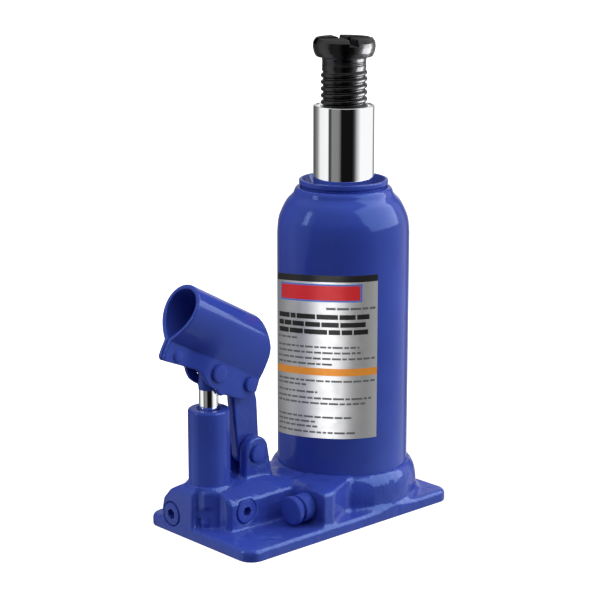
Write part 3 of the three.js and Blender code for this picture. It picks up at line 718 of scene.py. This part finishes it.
def base_casting():
    left, front = PLATE_LOW[:2]
    f = Field((left - 1.5, front - 1.5, -1.5), (PLATE_RIGHT + 1.5, 1.5 - front, 44), CAST_STEP)
    outline = plate_outline(f)
    collar = along_z(f, (PUMP_X, PUMP_Y), PUMP_R + 0.9, 10, DECK_Z + 0.4, 0.5)
    pump_block = joined(block(f), collar, 1.2)
    body = joined(rounded_prism(outline, f.z, -6, PLATE_TOP, PLATE_EDGE), boss(f), 3.0)
    body = joined(body, housing(f), 2.2)
    body = joined(body, pump_block, 1.6)
    body = joined(body, ears(f), 2.6)
    body = np.maximum(body, outline)
    for hole, rim in holes(f):
        body = without(body, hole, rim)
    body = common(body, -f.z, 0.5)
    casting = mesh_object("base_casting_cast", *surface(f, body))
    place(casting, CAST_ENAMEL, "base", "enamel", "base_casting", sharp=60)


# ---- bottle
BOTTLE_SHOULDER = [
    (BOTTLE_R, 120), (BOTTLE_R, SHOULDER_Z), (29.4, 133.6), (28, 137.7), (25.8, 141.9), (23.6, 144.3),
    (22.9, 145.1),
]
BOTTLE_LIP = [
    (22.6, 145.5), (22.3, 146.4), (21.9, 147.4), (21.3, 148.1), (20.6, 148.3), (19.9, 148.2), (19.7, 147.8),
    (19.7, 145.2), (NECK_BORE, 145.2),
]
BOTTLE_INSIDE = [
    (NECK_BORE, 142.8), (21.2, 142.3), (25.2, 137), (BOTTLE_BORE, SHOULDER_Z), (BOTTLE_BORE, BOTTLE_FOOT),
]


def bottle():
    steps = 8
    shoulder = smooth_line(BOTTLE_SHOULDER, steps)[steps:]
    foot = [(BOTTLE_BORE, BOTTLE_FOOT), (BOTTLE_R, BOTTLE_FOOT), (BOTTLE_R, 60)]
    tube = turned("oil_bottle", [*foot, *shoulder, *BOTTLE_LIP, *BOTTLE_INSIDE], GLOSS_SIDES)
    hole = [(0, 0), (5.2, 0), (5.2, 20), (0, 20)]
    carve(tube, turned("filler_hole", hole, HOLE_SIDES, (0, 20, FILLER_Z), ALONG_Y))
    place(tube, SMOOTH_ENAMEL, "base", "enamel", "reservoir_tube")
    bung = rounded([
        (0, 0), (4.9, 0, 0.5), (4.9, 3.4), (6.8, 3.6, 0.4), (6.8, 4.7, 0.6),
        (5.2, 5.6, 0.8), (2, 5.6, 0.3), (1.6, 5), (0, 5),
    ])
    filler = turned("filler_bung", bung, SMALL_SIDES, (0, 27.2, FILLER_Z), ALONG_Y)
    place(filler, RUBBER, "base", "rubber", "filler_plug")


def top_nut():
    top = NUT_HIGH[2]
    radius = NUT_HIGH[0]
    bore = RAM_R + 0.35
    profile = ring_profile([
        (bore, 126.6), (17.2, 126.6), (17.2, 146.6), (19.4, 146.6, 0.2), (19.4, 149, 0.5),
        (radius, 149.8, 0.5), (radius, top, 0.55), (18.8, top, 0.5), (16.9, 148, 0.8), (16.3, 147.6),
        (16.3, 146.2), (bore, 146.2),
    ])
    place(turned("gland_nut", profile, GLOSS_SIDES), SMOOTH_ENAMEL, "base", "enamel", "top_nut")
    touch = RAM_R + 0.06
    lip = ring_profile([
        (touch, 146.4), (16, 146.4), (16, 147.5, 0.3), (RAM_R + 0.9, 147.6, 0.2), (touch, 147.3),
    ])
    place(turned("wiper_lip", lip, GLOSS_SIDES), RUBBER, "base", "rubber", "ram_wiper")


# ---- label
LABEL_INKS = {  # colour, metallic, roughness
    "silver": ((0.43, 0.43, 0.435), 0.85, 0.45),
    "black": ((0.012, 0.012, 0.012), 0.0, 0.35),
    "orange": ((0.56, 0.21, 0.03), 0.2, 0.42),
    "red": ((0.42, 0.018, 0.022), 0.1, 0.40),
    "blue": ((0.05, 0.12, 0.38), 0.1, 0.40),
    "grey": ((0.085, 0.085, 0.085), 0.0, 0.40),
}
INK_NAMES = list(LABEL_INKS)
BARE = INK_NAMES.index("silver")  # the film where nothing is printed
BOLD_ROWS = [(0.236, 0.93), (0.283, 0.9), (0.328, 0.92)]  # top and right end, as shares of the label
SMALL_ROWS = [
    (0.38, 0.33), (0.43, 0.85), (0.464, 0.86), (0.5, 0.98), (0.534, 0.64), (0.638, 0.98), (0.665, 0.42),
    (0.709, 0.52), (0.746, 0.95), (0.777, 0.91), (0.863, 0.79), (0.893, 0.5), (0.923, 0.52), (0.958, 0.82),
]
BAR_GAP = 0.011


def word_bars(rng, top, height, ink, left, right, longest):
    """A line of plain bars with gaps, standing for a line of text."""
    bars = []
    at = left
    while at < right - 0.01:
        width = min(rng.uniform(0.3, 1.0) * longest, right - at)
        bars.append((at, at + width, top, top + height, ink))
        at += width + BAR_GAP
    return bars


def label_print():
    """Rectangles on the label: left, right, top, bottom as shares of it, and the ink."""
    rng = np.random.default_rng(7)
    bars = [
        (0, 1, 0, 0.04, "black"), (0.10, 0.87, 0.052, 0.160, "blue"), (0.115, 0.855, 0.062, 0.150, "red"),
    ]
    bars += word_bars(rng, 0.193, 0.014, "grey", 0.59, 0.98, 0.10)
    for top, right in BOLD_ROWS:
        bars += word_bars(rng, top, 0.030, "black", 0.06, right, 0.2)
    bars.append((0, 1, 0.565, 0.610, "orange"))
    for top, right in SMALL_ROWS:
        bars += word_bars(rng, top, 0.012, "grey", 0.05, right, 0.09)
    return bars


def ink_at(bars, u, v):
    """Number of the uppermost ink at a point of the label."""
    inks = [ink for left, right, top, bottom, ink in bars if left < u < right and top < v < bottom]
    return INK_NAMES.index(inks[-1]) if inks else BARE


def label_sag(angle):
    """How far the label hangs down towards its left end, where it was stuck on askew."""
    return -SAG_DEPTH * (max(0.0, SAG_FROM - angle) / SAG_SPAN) ** 2


def label_vertices(across, down):
    """Grid points of the label's printed side and then of its glued side, row by row."""
    low, high = extent("label")
    vertices = []
    for radius in (BOTTLE_R + 0.12, BOTTLE_R + 0.02):
        for v in down:
            for u in across:
                angle = LABEL_FROM + (LABEL_TO - LABEL_FROM) * u
                z = high[2] + (low[2] - high[2]) * v + label_sag(angle)
                vertices.append((radius * math.cos(angle), radius * math.sin(angle), z))
    return vertices


def label_faces(across, down, bars):
    """Faces of the closed sheet between those points, and the number of each face's ink."""
    rows = len(down)
    columns = len(across)

    def quad(*corners):
        return [(side * rows + row) * columns + column for side, row, column in corners]

    faces = []
    inks = []
    for row in range(rows - 1):
        for column in range(columns - 1):
            below = row + 1
            right = column + 1
            faces.append(quad((0, row, column), (0, below, column), (0, below, right), (0, row, right)))
            faces.append(quad((1, row, column), (1, row, right), (1, below, right), (1, below, column)))
            u = (across[column] + across[right]) / 2
            v = (down[row] + down[below]) / 2
            inks += [ink_at(bars, u, v), BARE]
    for row in range(rows - 1):
        for column in (0, columns - 1):
            faces.append(quad((0, row, column), (1, row, column), (1, row + 1, column), (0, row + 1, column)))
    for column in range(columns - 1):
        for row in (0, rows - 1):
            faces.append(quad((0, row, column), (0, row, column + 1), (1, row, column + 1), (1, row, column)))
    return faces, inks + [BARE] * (len(faces) - len(inks))


def label():
    bars = label_print()
    across = sorted({*(edge for bar in bars for edge in bar[:2]), *np.linspace(0, 1, 61)})
    down = sorted({0.0, 1.0, *(edge for bar in bars for edge in bar[2:4])})
    faces, inks = label_faces(across, down, bars)
    sheet = mesh_object("label_film", label_vertices(across, down), faces)
    for name, (colour, metallic, roughness) in LABEL_INKS.items():
        sheet.data.materials.append(printed_film(f"label_{name}", colour, metallic, roughness))
    sheet.data.polygons.foreach_set("material_index", inks)
    weld(sheet)
    attach(sheet, "base", "label_film", "label")


# ---- ram and extension screw
def ram():
    top = RAM_HIGH[2]
    foot = RAM_LOW[2]
    shoulder = foot + 13.5
    profile = rounded([
        (0, foot), (9, foot, 0.5), (9, shoulder), (RAM_R, shoulder, 0.4), (RAM_R, top, 0.35),
        (RAM_R - 0.9, top, 0.15), (RAM_R - 1.4, top - 0.5, 0.15), (RAM_R - 1.6, top - 2.2, 0.2),
        (10.7, top - 2.5, 0.2), (10.7, top - 16), (11.7, top - 16), (11.7, 104), (0, 100),
    ])
    place(turned("chromed_ram", profile, GLOSS_SIDES), CHROME, "ram_body", "chrome", "ram")


def thread(height, turn):
    """Rounded ridge of a right-handed thread that runs out at both ends."""
    if not THREAD_LOW < height < THREAD_HIGH:
        return 0
    phase = ((height - THREAD_LOW) / THREAD_PITCH - turn) % 1.0
    crest = min(1.0, max(0.0, 1.45 * (1 - abs(2 * phase - 1)) - 0.1))
    crest = crest * crest * (3 - 2 * crest)
    fade = min(1.0, (THREAD_HIGH - height) / 2.5, (height - THREAD_LOW) / 1.5)
    return THREAD_DEPTH * (THREAD_PLAIN + (crest - THREAD_PLAIN) * fade)


def tool_marks(low, high):
    """Three shallow turned grooves on the plain neck."""
    marks = []
    for height in np.linspace(low, high, 5)[1:4]:
        marks += [(SCREW_NECK, height - 0.3), (SCREW_NECK - 0.16, height), (SCREW_NECK, height + 0.3)]
    return marks


def screw_profile():
    """Outline of the screw from its foot to the middle of its head. The thread's ridge is added to it."""
    top = SCREW_HIGH[2]
    foot = SCREW_LOW[2]
    start = THREAD_LOW - 0.2
    stem = rounded([(0, foot), (8, foot, 0.3), (8, foot + 3), (SCREW_BAR, foot + 3, 0.3), (SCREW_BAR, start)])
    heights = np.linspace(THREAD_LOW + 0.01, THREAD_HIGH - 0.01, THREAD_TURNS * 14)
    neck = tool_marks(THREAD_HIGH + 0.8, HEAD_Z - 1.4)
    root = smooth_line([
        (SCREW_NECK, HEAD_Z - 1.2), (SCREW_NECK + 0.1, HEAD_Z - 0.6), (10.4, HEAD_Z - 0.12), (11.2, HEAD_Z),
    ], 4)
    head = rounded([
        (11.8, HEAD_Z), (HEAD_R - 1.4, HEAD_Z, 0.9), (HEAD_R - 0.4, HEAD_Z + 2.2, 3),
        (HEAD_R, HEAD_Z + 4.4, 3), (HEAD_R - 0.2, HEAD_Z + 6.6, 1.5), (HEAD_R - 1.3, top, 0.8), (0, top),
    ])
    threaded = [(THREAD_ROOT, z) for z in heights]
    return [*stem, *threaded, (SCREW_NECK, THREAD_HIGH + 0.3), *neck, *root, *head[1:]]


def extension_screw():
    screw = turned("saddle_screw", screw_profile(), ROD_SIDES, ridge=thread)
    top = SCREW_HIGH[2]
    reach = HEAD_R + 3
    for turn in (65, 155):
        groove = box_piece("groove", (-reach, -HEAD_GROOVE, top - 3), (reach, HEAD_GROOVE, top + 2))
        groove.data.transform(Matrix.Rotation(math.radians(turn), 4, "Z"))
        carve(screw, groove)
    place(screw, OXIDE, "screw_body", "black_oxide", "extension_screw", sharp=50)


# ---- hand pump
def pump_barrel():
    top = PUMP_HIGH[2]
    bore = PLUNGER_R + 0.3
    shoulder = DECK_Z - 0.5
    profile = ring_profile([
        (bore, 16.9), (7.4, 16.9), (7.4, shoulder), (PUMP_R, shoulder), (PUMP_R, top, 1.3),
        (bore + 1.0, top, 0.3), (bore, top - 1, 0.3), (bore, 53.5), (6, 53.5), (6, 50.5), (bore, 50.5),
    ])
    barrel = turned("pump_barrel", profile, BARREL_SIDES, (PUMP_X, PUMP_Y, 0))
    place(barrel, SMOOTH_ENAMEL, "base", "enamel", "pump_cylinder")


def plunger():
    """Chromed rod with an enamelled eye on top."""
    at = (PUMP_X, PUMP_Y, 0)
    profile = rounded([
        (0, 26), (PLUNGER_R, 26, 0.5), (PLUNGER_R, 29, 0.2), (3.2, 29), (3.2, 31), (PLUNGER_R, 31, 0.2),
        (PLUNGER_R, PAINTED_FROM), (0, PAINTED_FROM),
    ])
    rod = turned("plunger_rod", profile, ROD_SIDES, at)
    place(rod, CHROME, "plunger_body", "chrome", "pump_plunger")
    crown = PIN_PLUNGER[2] + 5.2
    edge = PLUNGER_R + 0.12
    start = PAINTED_FROM + 0.05
    cap = rounded([(0, start), (edge, start, 0.15), (edge, crown - 2.0, 0.6), (2.8, crown, 0.6), (0, crown)])
    head = turned("plunger_head", cap, ROD_SIDES, at)
    eye = [(0, 0), (2.7, 0), (2.7, 18), (0, 18)]
    carve(head, turned("eye", eye, HOLE_SIDES, (PUMP_X, PUMP_Y - 9, PIN_PLUNGER[2]), ALONG_Y))
    place(head, SMOOTH_ENAMEL, "plunger_body", "enamel")


# ---- handle socket, in its own frame
SOCKET_TRIM = [
    (0.9, 13), (0.7, 0), (0, -20), (0.3, -23), (1.6, -24.1), (10.8, -23.1), (17, -22.4), (19.6, -22.9),
    (22.4, -24.8), (25.1, -26.4), (28, -27), (31.2, -27.1), (32.4, -28.3), (34.4, -28.8), (36.6, -27.6),
    (42, -27.3), (46.9, -26.6), (51.6, -23.8), (53.4, -20.6), (52.6, -14), (51.2, -8), (50.4, -4),
    (49.2, -0.8), (45, 5.2), (42.6, 9.2), (40, 13),
]
SOCKET_KNEE = -14.8  # where the round part runs into the flanges


def socket_frame():
    """From the socket's own frame, X along its bore from the mouth, to the jack's."""
    return Matrix.Translation(SOCKET_MOUTH) @ Matrix.Rotation(SOCKET_TILT, 4, "Y")


def bent_sheet(f):
    """Distance to the middle of the sheet: a half round over the bore, closing in below to two flanges."""
    t = np.clip((f.x - 10) / 14, 0, 1)
    pinched = SHEET / 2 + 0.15
    spread = pinched + (FLANGE_HALF - SHEET / 2 - pinched) * t * t * (3 - 2 * t)
    line = [(spread, -34.0)]
    for k in np.linspace(1, 0, 11)[:-1]:
        line.append((spread + (SOCKET_R - spread) * (1 - k * k), SOCKET_KNEE * k))
    for a in np.radians(np.linspace(0, 90, 13)):
        line.append((SOCKET_R * math.cos(a), SOCKET_R * math.sin(a)))
    return to_line(np.abs(f.y), f.z, line)


def handle_socket():
    f = Field((-1.6, -12.4, -30.8), (55.6, 12.4, 12.4), FINE_STEP)
    body = common(bent_sheet(f) - SHEET / 2, polygon(f.x, f.z, SOCKET_TRIM), 0.55)
    for pin, radius in ((PIN_PLUNGER, 2.8), (PIN_UPPER, 2.6)):
        x, _, z = socket_frame().inverted() @ Vector(pin)
        body = without(body, disc(f.x, f.z, (x, z), radius), 0.3)
    socket = mesh_object("bent_socket", *surface(f, body))
    socket.data.transform(Matrix.Scale(MM, 4) @ socket_frame() @ Matrix.Scale(1 / MM, 4))
    place(socket, SMOOTH_ENAMEL, "socket_body", "enamel", "handle_socket", sharp=60)


def rivet():
    """Rivet with two domed heads that closes the socket's flanges."""
    def dome(radius):
        return RIVET_CROWN * math.sqrt(max(0, 1 - (radius / RIVET_R) ** 2))

    grip = SHEET + 0.2
    far = 2 * grip + 2.4 - RIVET_RIM
    radii = np.linspace(0, RIVET_R, 9)
    profile = [(r, RIVET_RIM - dome(r)) for r in radii]
    profile += [(RIVET_STEM, RIVET_RIM), (RIVET_STEM, far)]
    profile += [(r, far + dome(r)) for r in reversed(radii)]
    start = socket_frame() @ Vector((7.3, -grip - 1.2, -19.8))
    piece = turned("flange_rivet", profile, RIVET_SIDES, start, ALONG_Y)
    place(piece, SMOOTH_ENAMEL, "socket_body", "enamel", "socket_rivet")


# ---- link and pins
def link_arm():
    ux, uy, uz = PIN_UPPER
    lx, _, lz = PIN_LOWER
    f = Field((lx - 12, uy - 5.5, lz - 7.5), (lx + 8, uy + 5.5, uz + 7.5), FINE_STEP)
    outline = [*arc((lx, lz), 6.3, 180, 355), (-48.7, 57), *arc((ux, uz), 6.2, -15, 195), (-62.4, 58.5)]
    bar = rounded_prism(polygon(f.x, f.z, outline), f.y, uy - LINK_HALF, uy + LINK_HALF, 0.8)
    hub = rounded_prism(disc(f.x, f.z, (ux, uz), 5.4), f.y, uy - 4.5, uy + 4.5, 0.5)
    arm = joined(bar, hub, 0.8)
    arm = without(arm, disc(f.x, f.z, (lx, lz), 3.05), 0.4)
    arm = without(arm, disc(f.x, f.z, (ux - 0.43, uz + 0.22), 3.2), 0.4)
    piece = mesh_object("forged_link", *surface(f, arm))
    place(piece, CAST_ENAMEL, "link_body", "enamel", "link_arm", sharp=60)


def headed_pin(node, at, radius, head, half, body):
    """Headed pin along +Y with a rounded head, and the split ring that keeps it in."""
    x, y, z = at
    length = PIN_HEAD + 2 * half + 2 * PIN_PLAY + PIN_TAIL
    profile = rounded([
        (0, -0.15), (head - 1.6, 0), (head, 0.25, 0.7), (head, PIN_HEAD, 0.15), (radius, PIN_HEAD),
        (radius, length - 0.4), (radius - 0.4, length), (0, length),
    ])
    pin = turned(f"{node}_turned", profile, SMALL_SIDES, (x, y - half - PIN_PLAY - PIN_HEAD, z), ALONG_Y)
    place(pin, SMOOTH_ENAMEL, body, "enamel", node)
    inner = radius + 0.1
    outer = radius + 1.9
    ring = ring_profile([(inner, 0), (outer, 0, 0.3), (outer, 1, 0.3), (inner, 1)])
    clip = turned(f"{node}_ring", ring, RING_SIDES, (x, y + half + PIN_PLAY, z), ALONG_Y)
    carve(clip, box_piece("ring_gap", (x - 0.9, y + half - 1, z - radius - 4), (x + 0.9, y + half + 3, z)))
    place(clip, STEEL, body, "steel", f"{node}_clip")


# ---- plugs and release valve
def keyed(name, profile, key, at, towards):
    """Turned plug with a hexagonal key hole in its face."""
    plug = turned(name, profile, SMALL_SIDES, at, towards)
    hole = [(0, 0), (key, 0), (key, 3.4), (key * 0.55, 4.2), (0, 4.5)]
    return carve(plug, turned("key_hole", hole, HEXAGON, Vector(at) - Vector(towards), towards))


def head_profile(length):
    """Flat head on a plain stem."""
    thick = 1.4
    return rounded([
        (0, 0), (PLUG_HEAD, 0, 0.5), (PLUG_HEAD, thick), (PLUG_STEM, thick), (PLUG_STEM, length), (0, length),
    ])


def plugs():
    suction = keyed("suction_plug_turned", head_profile(5.2), 2.5, SUCTION, ALONG_X)
    place(suction, SMOOTH_ENAMEL, "base", "enamel", "suction_plug")
    delivery = keyed("delivery_plug_turned", head_profile(4.2), 2.4, DELIVERY, ALONG_Y)
    place(delivery, SMOOTH_ENAMEL, "base", "enamel", "delivery_plug")
    flush = rounded([(0, 0), (PLUG_STEM, 0, 0.5), (PLUG_STEM, 4.6), (0, 4.6)])
    safety = keyed("safety_screw_turned", flush, 1.8, SAFETY - [0, 0.5, 0], (0, -1, 0))
    place(safety, STEEL, "base", "steel", "safety_screw")


def release_valve():
    profile = rounded([
        (0, 0), (6.4, 0, 0.8), (6.4, 3, 0.8), (5, 3.2, 0.3), (5, 4.4, 0.3), (6.1, 4.7, 0.6),
        (6.1, 10.2, 0.2), (3.9, 10.2), (3.9, 15), (3, 15), (3, 16.8), (3.9, 16.8), (3.9, 21.4),
        (1.4, 23.9), (0, 23.9),
    ])
    valve = turned("release_valve_turned", profile, SMALL_SIDES, VALVE - [10.5, 0, 0], ALONG_X)
    place(valve, SMOOTH_ENAMEL, "valve_body", "enamel", "release_valve")


# ---- pieces kept from the frame
KEPT = {
    STEEL: ["pressure_cylinder", "piston_retaining_ring", "screw_stop_ring", "suction_spring", "suction_ball",
            "delivery_spring", "delivery_ball", "safety_spring", "safety_ball", "release_ball"],
    BRASS: ["piston_head", "suction_screen"],
    COPPER: ["reservoir_bottom_gasket", "cylinder_gasket", "pump_washer"],
    RUBBER: ["reservoir_top_gasket", "piston_seal", "pump_cup_seal", "plunger_seal", "release_valve_oring"],
}


def finish_kept_nodes():
    for material, names in KEPT.items():
        for name in names:
            node = frame["nodes"][name]
            if not node.material_slots:
                node.data.materials.append(material)
            for slot in node.material_slots:
                slot.material = material


# ---- studio, in metres
CAMERA_AT = (-0.58432, -0.61049, 0.30131)
CAMERA_LOOK = (0.65536, 0.71726, -0.23673)
CAMERA_LENS = 114.27
CAMERA_SIDE = math.atan2(-CAMERA_LOOK[1], -CAMERA_LOOK[0])  # turn of the side that the photo shows
STUDIO_WALLS = (
    (0, 0.5), (0.06, 0.2), (0.103, 0.07), (0.178, 0.28), (0.225, 0.9), (0.325, 0.98), (0.34, 0.05),
    (0.357, 0.06), (0.375, 0.24), (0.44, 0.22), (0.462, 0.1), (0.472, 0.006), (0.588, 0.006), (0.61, 0.07),
    (0.656, 0.7), (0.68, 1), (0.87, 1), (0.905, 0.18), (0.925, 0.15), (0.95, 0.8), (1, 0.5),
)
DIFFUSE_LEVEL = 1.1  # the walls' brightness as light
GLOSSY_LEVEL = 1.0  # the walls' brightness in reflections
DOME_FROM = 0.45  # the walls turn white between these heights of a direction
DOME_TO = 0.75
ENAMELLED = ["base_casting_cast", "oil_bottle", "gland_nut", "pump_barrel", "bent_socket", "forged_link"]


def camera():
    data = bpy.data.cameras.new("camera")
    data.lens = CAMERA_LENS
    data.sensor_width = 36
    data.clip_end = 20
    view = bpy.data.objects.new("camera", data)
    view.location = CAMERA_AT
    view.rotation_euler = Vector(CAMERA_LOOK).to_track_quat("-Z", "Y").to_euler()
    scene.collection.objects.link(view)
    scene.camera = view


def wall_brightness(sky):
    """Brightness round the room: 0 and 1 are behind the jack and 0.5 is on the side that the photo shows.

    A black flag on that side, a grey one beside it and narrow dark strips give the chrome its bands.
    """
    where = sky.node("ShaderNodeTexCoord").outputs["Generated"]
    turn = sky.node("ShaderNodeVectorRotate", rotation_type="Z_AXIS", Angle=-CAMERA_SIDE, Vector=where)
    split = sky.node("ShaderNodeSeparateXYZ", Vector=turn.outputs["Vector"])
    angle = sky.node("ShaderNodeMath", operation="ARCTAN2")
    sky.link(split.outputs["Y"], angle.inputs[0])
    sky.link(split.outputs["X"], angle.inputs[1])
    share = sky.node("ShaderNodeMapRange", From_Min=-math.pi, From_Max=math.pi, Value=angle.outputs["Value"])
    height = sky.node("ShaderNodeMapRange", From_Min=DOME_FROM, From_Max=DOME_TO, Value=split.outputs["Z"])
    return sky.mix(height.outputs["Result"], sky.ramp(share.outputs["Result"], *STUDIO_WALLS), 1.0)


def world():
    """Studio walls for light and reflections, behind a plain white backdrop."""
    studio = bpy.data.worlds.new("studio")
    scene.world = studio
    studio.use_nodes = True
    sky = Nodes(studio.node_tree)
    sky.tree.nodes.clear()
    ray = sky.node("ShaderNodeLightPath").outputs
    glossy = ray["Is Glossy Ray"]
    level = sky.node("ShaderNodeMapRange", To_Min=DIFFUSE_LEVEL, To_Max=GLOSSY_LEVEL, Value=glossy)
    light = sky.node("ShaderNodeBackground", Color=wall_brightness(sky), Strength=level.outputs["Result"])
    backdrop = sky.node("ShaderNodeBackground", Color=(1, 1, 1, 1))
    seen = sky.node("ShaderNodeMixShader", Fac=ray["Is Camera Ray"])
    sky.link(light.outputs["Background"], seen.inputs[1])
    sky.link(backdrop.outputs["Background"], seen.inputs[2])
    sky.node("ShaderNodeOutputWorld", Surface=seen.outputs["Shader"])


def softbox(name, turn, distance, z, size, power, aim=(0, 0, 0.1), only=(), gloss=True, diffuse=True):
    """Rectangular lamp, so many degrees round from the camera's side. It may light only some pieces."""
    data = bpy.data.lights.new(name, "AREA")
    data.shape = "RECTANGLE"
    data.size, data.size_y = size
    data.energy = power
    lamp = bpy.data.objects.new(name, data)
    side = CAMERA_SIDE + math.radians(turn)
    lamp.location = (distance * math.cos(side), distance * math.sin(side), z)
    lamp.rotation_euler = (Vector(aim) - lamp.location).to_track_quat("-Z", "Y").to_euler()
    lamp.visible_camera = False
    lamp.visible_glossy = gloss
    lamp.visible_diffuse = diffuse
    scene.collection.objects.link(lamp)
    if only:
        lit = bpy.data.collections.new(f"{name}_lit")
        for piece in only:
            lit.objects.link(bpy.data.objects[piece])
        lamp.light_linking.receiver_collection = lit
        lamp.light_linking.blocker_collection = lit


def studio_light():
    """Soft light from both sides, highlights on the enamel, and lamps for the screw and the label alone."""
    softbox("key_softbox", 75, 1.3, 1.0, (1.0, 0.9), 7.5, gloss=False)
    softbox("fill_softbox", -75, 1.4, 0.8, (0.2, 0.5), 1.0, gloss=False)
    softbox("key_highlight", 80, 1.3, 1.0, (2.2, 1.8), 76, only=ENAMELLED, diffuse=False)
    softbox("fill_highlight", -75, 1.4, 0.8, (0.25, 0.6), 4, only=ENAMELLED, diffuse=False)
    softbox("head_softbox", 95, 0.5, 0.06, (0.4, 0.36), 7, (0, 0, 0.06), ["saddle_screw"])
    softbox("label_softbox", -25, 1.2, -0.2, (1.05, 0.7), 14, (0, 0, 0.08), ["label_film"])


def floor():
    """Bright floor under the jack. It stays out of reflections and does not tint the paint."""
    reach = 6000
    corners = [(-reach, -reach, 0), (reach, -reach, 0), (reach, reach, 0), (-reach, reach, 0)]
    ground = mesh_object("floor", corners, [(0, 1, 2, 3)])
    pale = Shader("pale_floor", Roughness=0.9, Specular_IOR_Level=0.0, Emission_Strength=0.9)
    pale.set("Base Color", pale.mix(pale.noise(400, 2), 0.62, 0.65))
    pale.set("Emission Color", pale.mix(pale.noise(300, 2), 0.98, 1.0))
    ground.data.materials.append(pale.material)
    ground.visible_glossy = False
    ground.visible_diffuse = False


scene.view_settings.view_transform = "Standard"
camera()
world()
floor()
base_casting()
bottle()
top_nut()
label()
ram()
extension_screw()
pump_barrel()
plunger()
handle_socket()
rivet()
link_arm()
headed_pin("plunger_pin", PIN_PLUNGER, 2.5, 3.9, FLANGE_HALF, "socket_body")
headed_pin("link_upper_pin", PIN_UPPER, 2.3, 3.3, FLANGE_HALF, "socket_body")
headed_pin("link_lower_pin", PIN_LOWER, 2.75, 4.0, EAR_HALF, "base")
plugs()
release_valve()
finish_kept_nodes()
studio_light()
